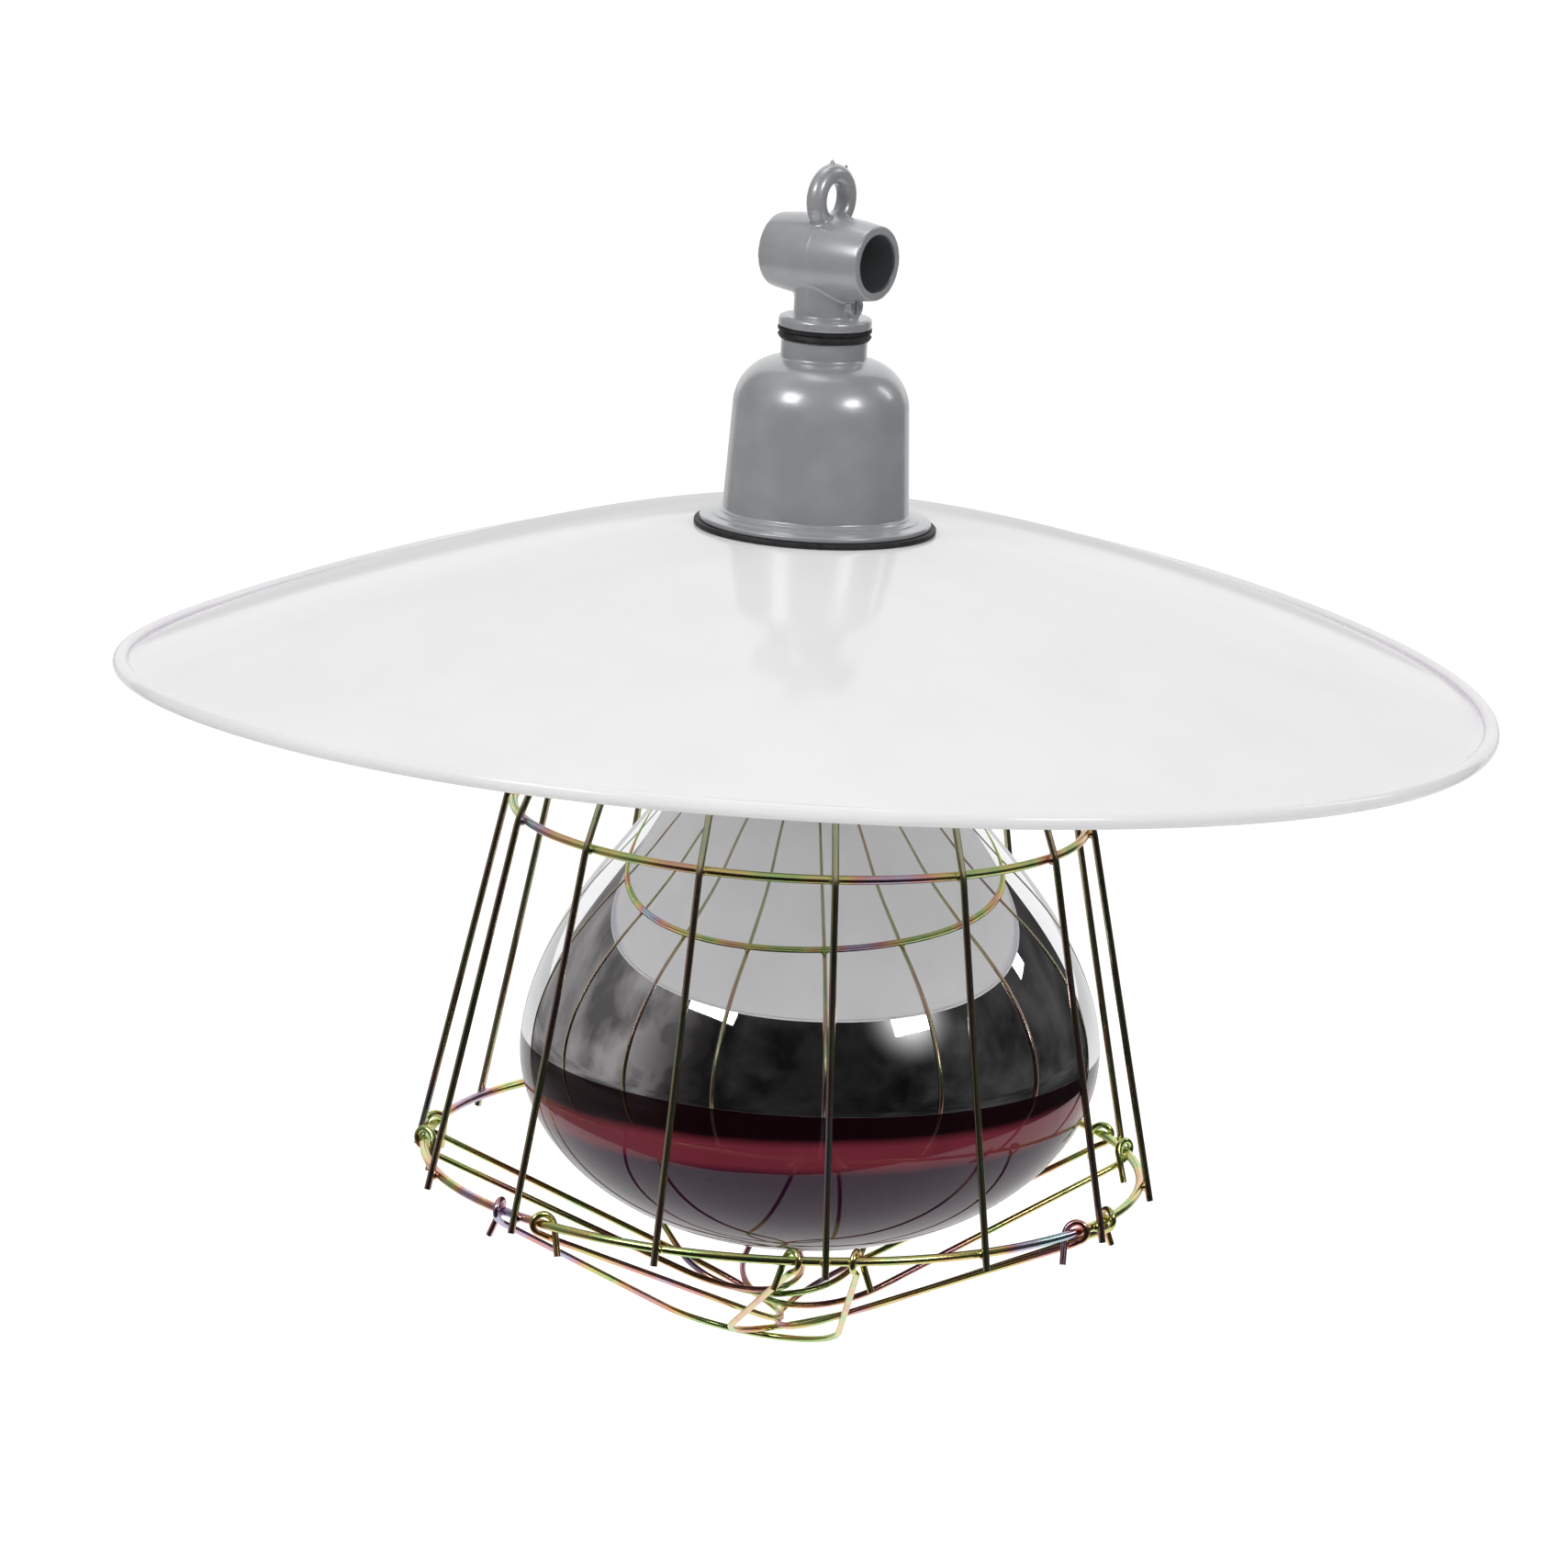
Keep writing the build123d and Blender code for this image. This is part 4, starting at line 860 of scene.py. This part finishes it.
def reflectionOnly(piece):
    for kind in ("camera", "diffuse", "shadow", "transmission", "volume_scatter"):
        setattr(piece, "visible_" + kind, False)


def paleWorld(diffuse):
    # white to the camera and in mirrors, dimmer as a light
    world = bpy.data.worlds.new("paleStudio")
    bpy.context.scene.world = world
    world.use_nodes = True
    tree = world.node_tree
    tree.nodes.clear()
    rays = addNode(tree, "ShaderNodeLightPath").outputs
    seen = rays["Is Camera Ray"]
    for other in ("Is Glossy Ray", "Is Transmission Ray"):
        seen = addNode(tree, "ShaderNodeMath", {0: seen, 1: rays[other]}, operation="MAXIMUM")
    level = addNode(tree, "ShaderNodeMapRange", {"Value": seen, "To Min": diffuse, "To Max": 1.0})
    sky = addNode(tree, "ShaderNodeBackground", {"Color": "#ffffff", "Strength": level})
    addNode(tree, "ShaderNodeOutputWorld", {"Surface": sky})


def buildStage(sizes):
    floorZ = cadLow.z - sizes["floorDrop"]
    reach = np.array([-sizes["floorReach"], sizes["floorReach"]])
    sheet = np.stack(np.broadcast_arrays(reach, reach[:, None], floorZ), axis=-1)
    floor = gridPiece("paperFloor", sheet)
    paint(floor, floorLook())
    # the dome is a piece of a sphere; the card is flat, with an inner edge that opens as the square of the
    # degrees past its round part, and leaves the floor pale under the lamp and behind it
    radius = sizes["drapeRadius"]
    rows, columns = sizes["drapeGrid"]
    degrees = np.linspace(-sizes["drapeTurn"], sizes["drapeTurn"], columns)
    rise = np.linspace(*sizes["drapeRise"], rows)[:, None]
    share = np.linspace(0, 1, columns)
    dome = heading(degrees, rise) * radius + sizes["drapeMiddle"]
    left, right = sizes["cardFlat"]
    past = np.maximum(np.maximum(left - degrees, degrees - right), 0)
    inner = sizes["cardNear"] * (1 + sizes["cardOpen"] * past**2)
    out = inner + (radius * sizes["cardFar"] - inner) * np.linspace(0, 1, sizes["cardRows"])[:, None]
    card = heading(degrees, 0) * out[..., None] + [0, 0, floorZ + sizes["cardLift"]]
    glowPlace = heading(sizes["glowBearing"], sizes["glowRise"]) * radius + sizes["drapeMiddle"]
    cloth = roomLook(glowPlace)
    for piece in (
        gridPiece("dimRoom", dome, uv=alongUv(share, np.radians(rise))),
        gridPiece("dimFloor", card, uv=alongUv(share, 0 * out)),
    ):
        paint(piece, cloth)
        reflectionOnly(piece)
    for name, bearing, lift, distance, width, height, watts in sizes["lights"]:
        lamp = bpy.data.lights.new(name, "AREA")
        lamp.shape = "RECTANGLE"
        lamp.size = width
        lamp.size_y = height
        lamp.energy = watts
        holder = link(name, lamp)
        way = Vector(heading(bearing, lift))
        holder.location = Vector(sizes["lightMiddle"]) + way * distance
        holder.rotation_mode = "QUATERNION"
        holder.rotation_quaternion = way.to_track_quat("Z", "Y")
    paleWorld(sizes["worldDiffuse"])


buildStage(stageSizes)
bpy.context.scene.view_settings.view_transform = "Standard"
print("stage made")


cameraSizes = {
    "elevation": 12.68, "roll": 2.91, "distance": 1.4742, "lens": 158.25, "sensor": 36, "clip": (0.05, 60),
    "aimHeight": -57.25, "aimRight": -3.74,  # mm from the seat and the axis to the point looked at
}


def placeCamera(sizes):
    rise = math.radians(sizes["elevation"])
    roll = math.radians(sizes["roll"])
    upright = Vector((0, 0, 1))
    back = toCamera * math.cos(rise) + upright * math.sin(rise)
    up = upright * math.cos(rise) - toCamera * math.sin(rise)
    aim = toRight * sizes["aimRight"] * mm + upright * (seatZ + sizes["aimHeight"] * mm)
    rolledRight = toRight * math.cos(roll) + up * math.sin(roll)
    rolledUp = up * math.cos(roll) - toRight * math.sin(roll)
    data = bpy.data.cameras.new("studioCamera")
    data.lens = sizes["lens"]
    data.sensor_width = sizes["sensor"]
    data.clip_start, data.clip_end = sizes["clip"]
    camera = link("studioCamera", data)
    axes = Matrix((rolledRight, rolledUp, back)).transposed().to_4x4()
    camera.matrix_world = Matrix.Translation(aim + back * sizes["distance"]) @ axes
    bpy.context.scene.camera = camera


placeCamera(cameraSizes)
print("camera placed")
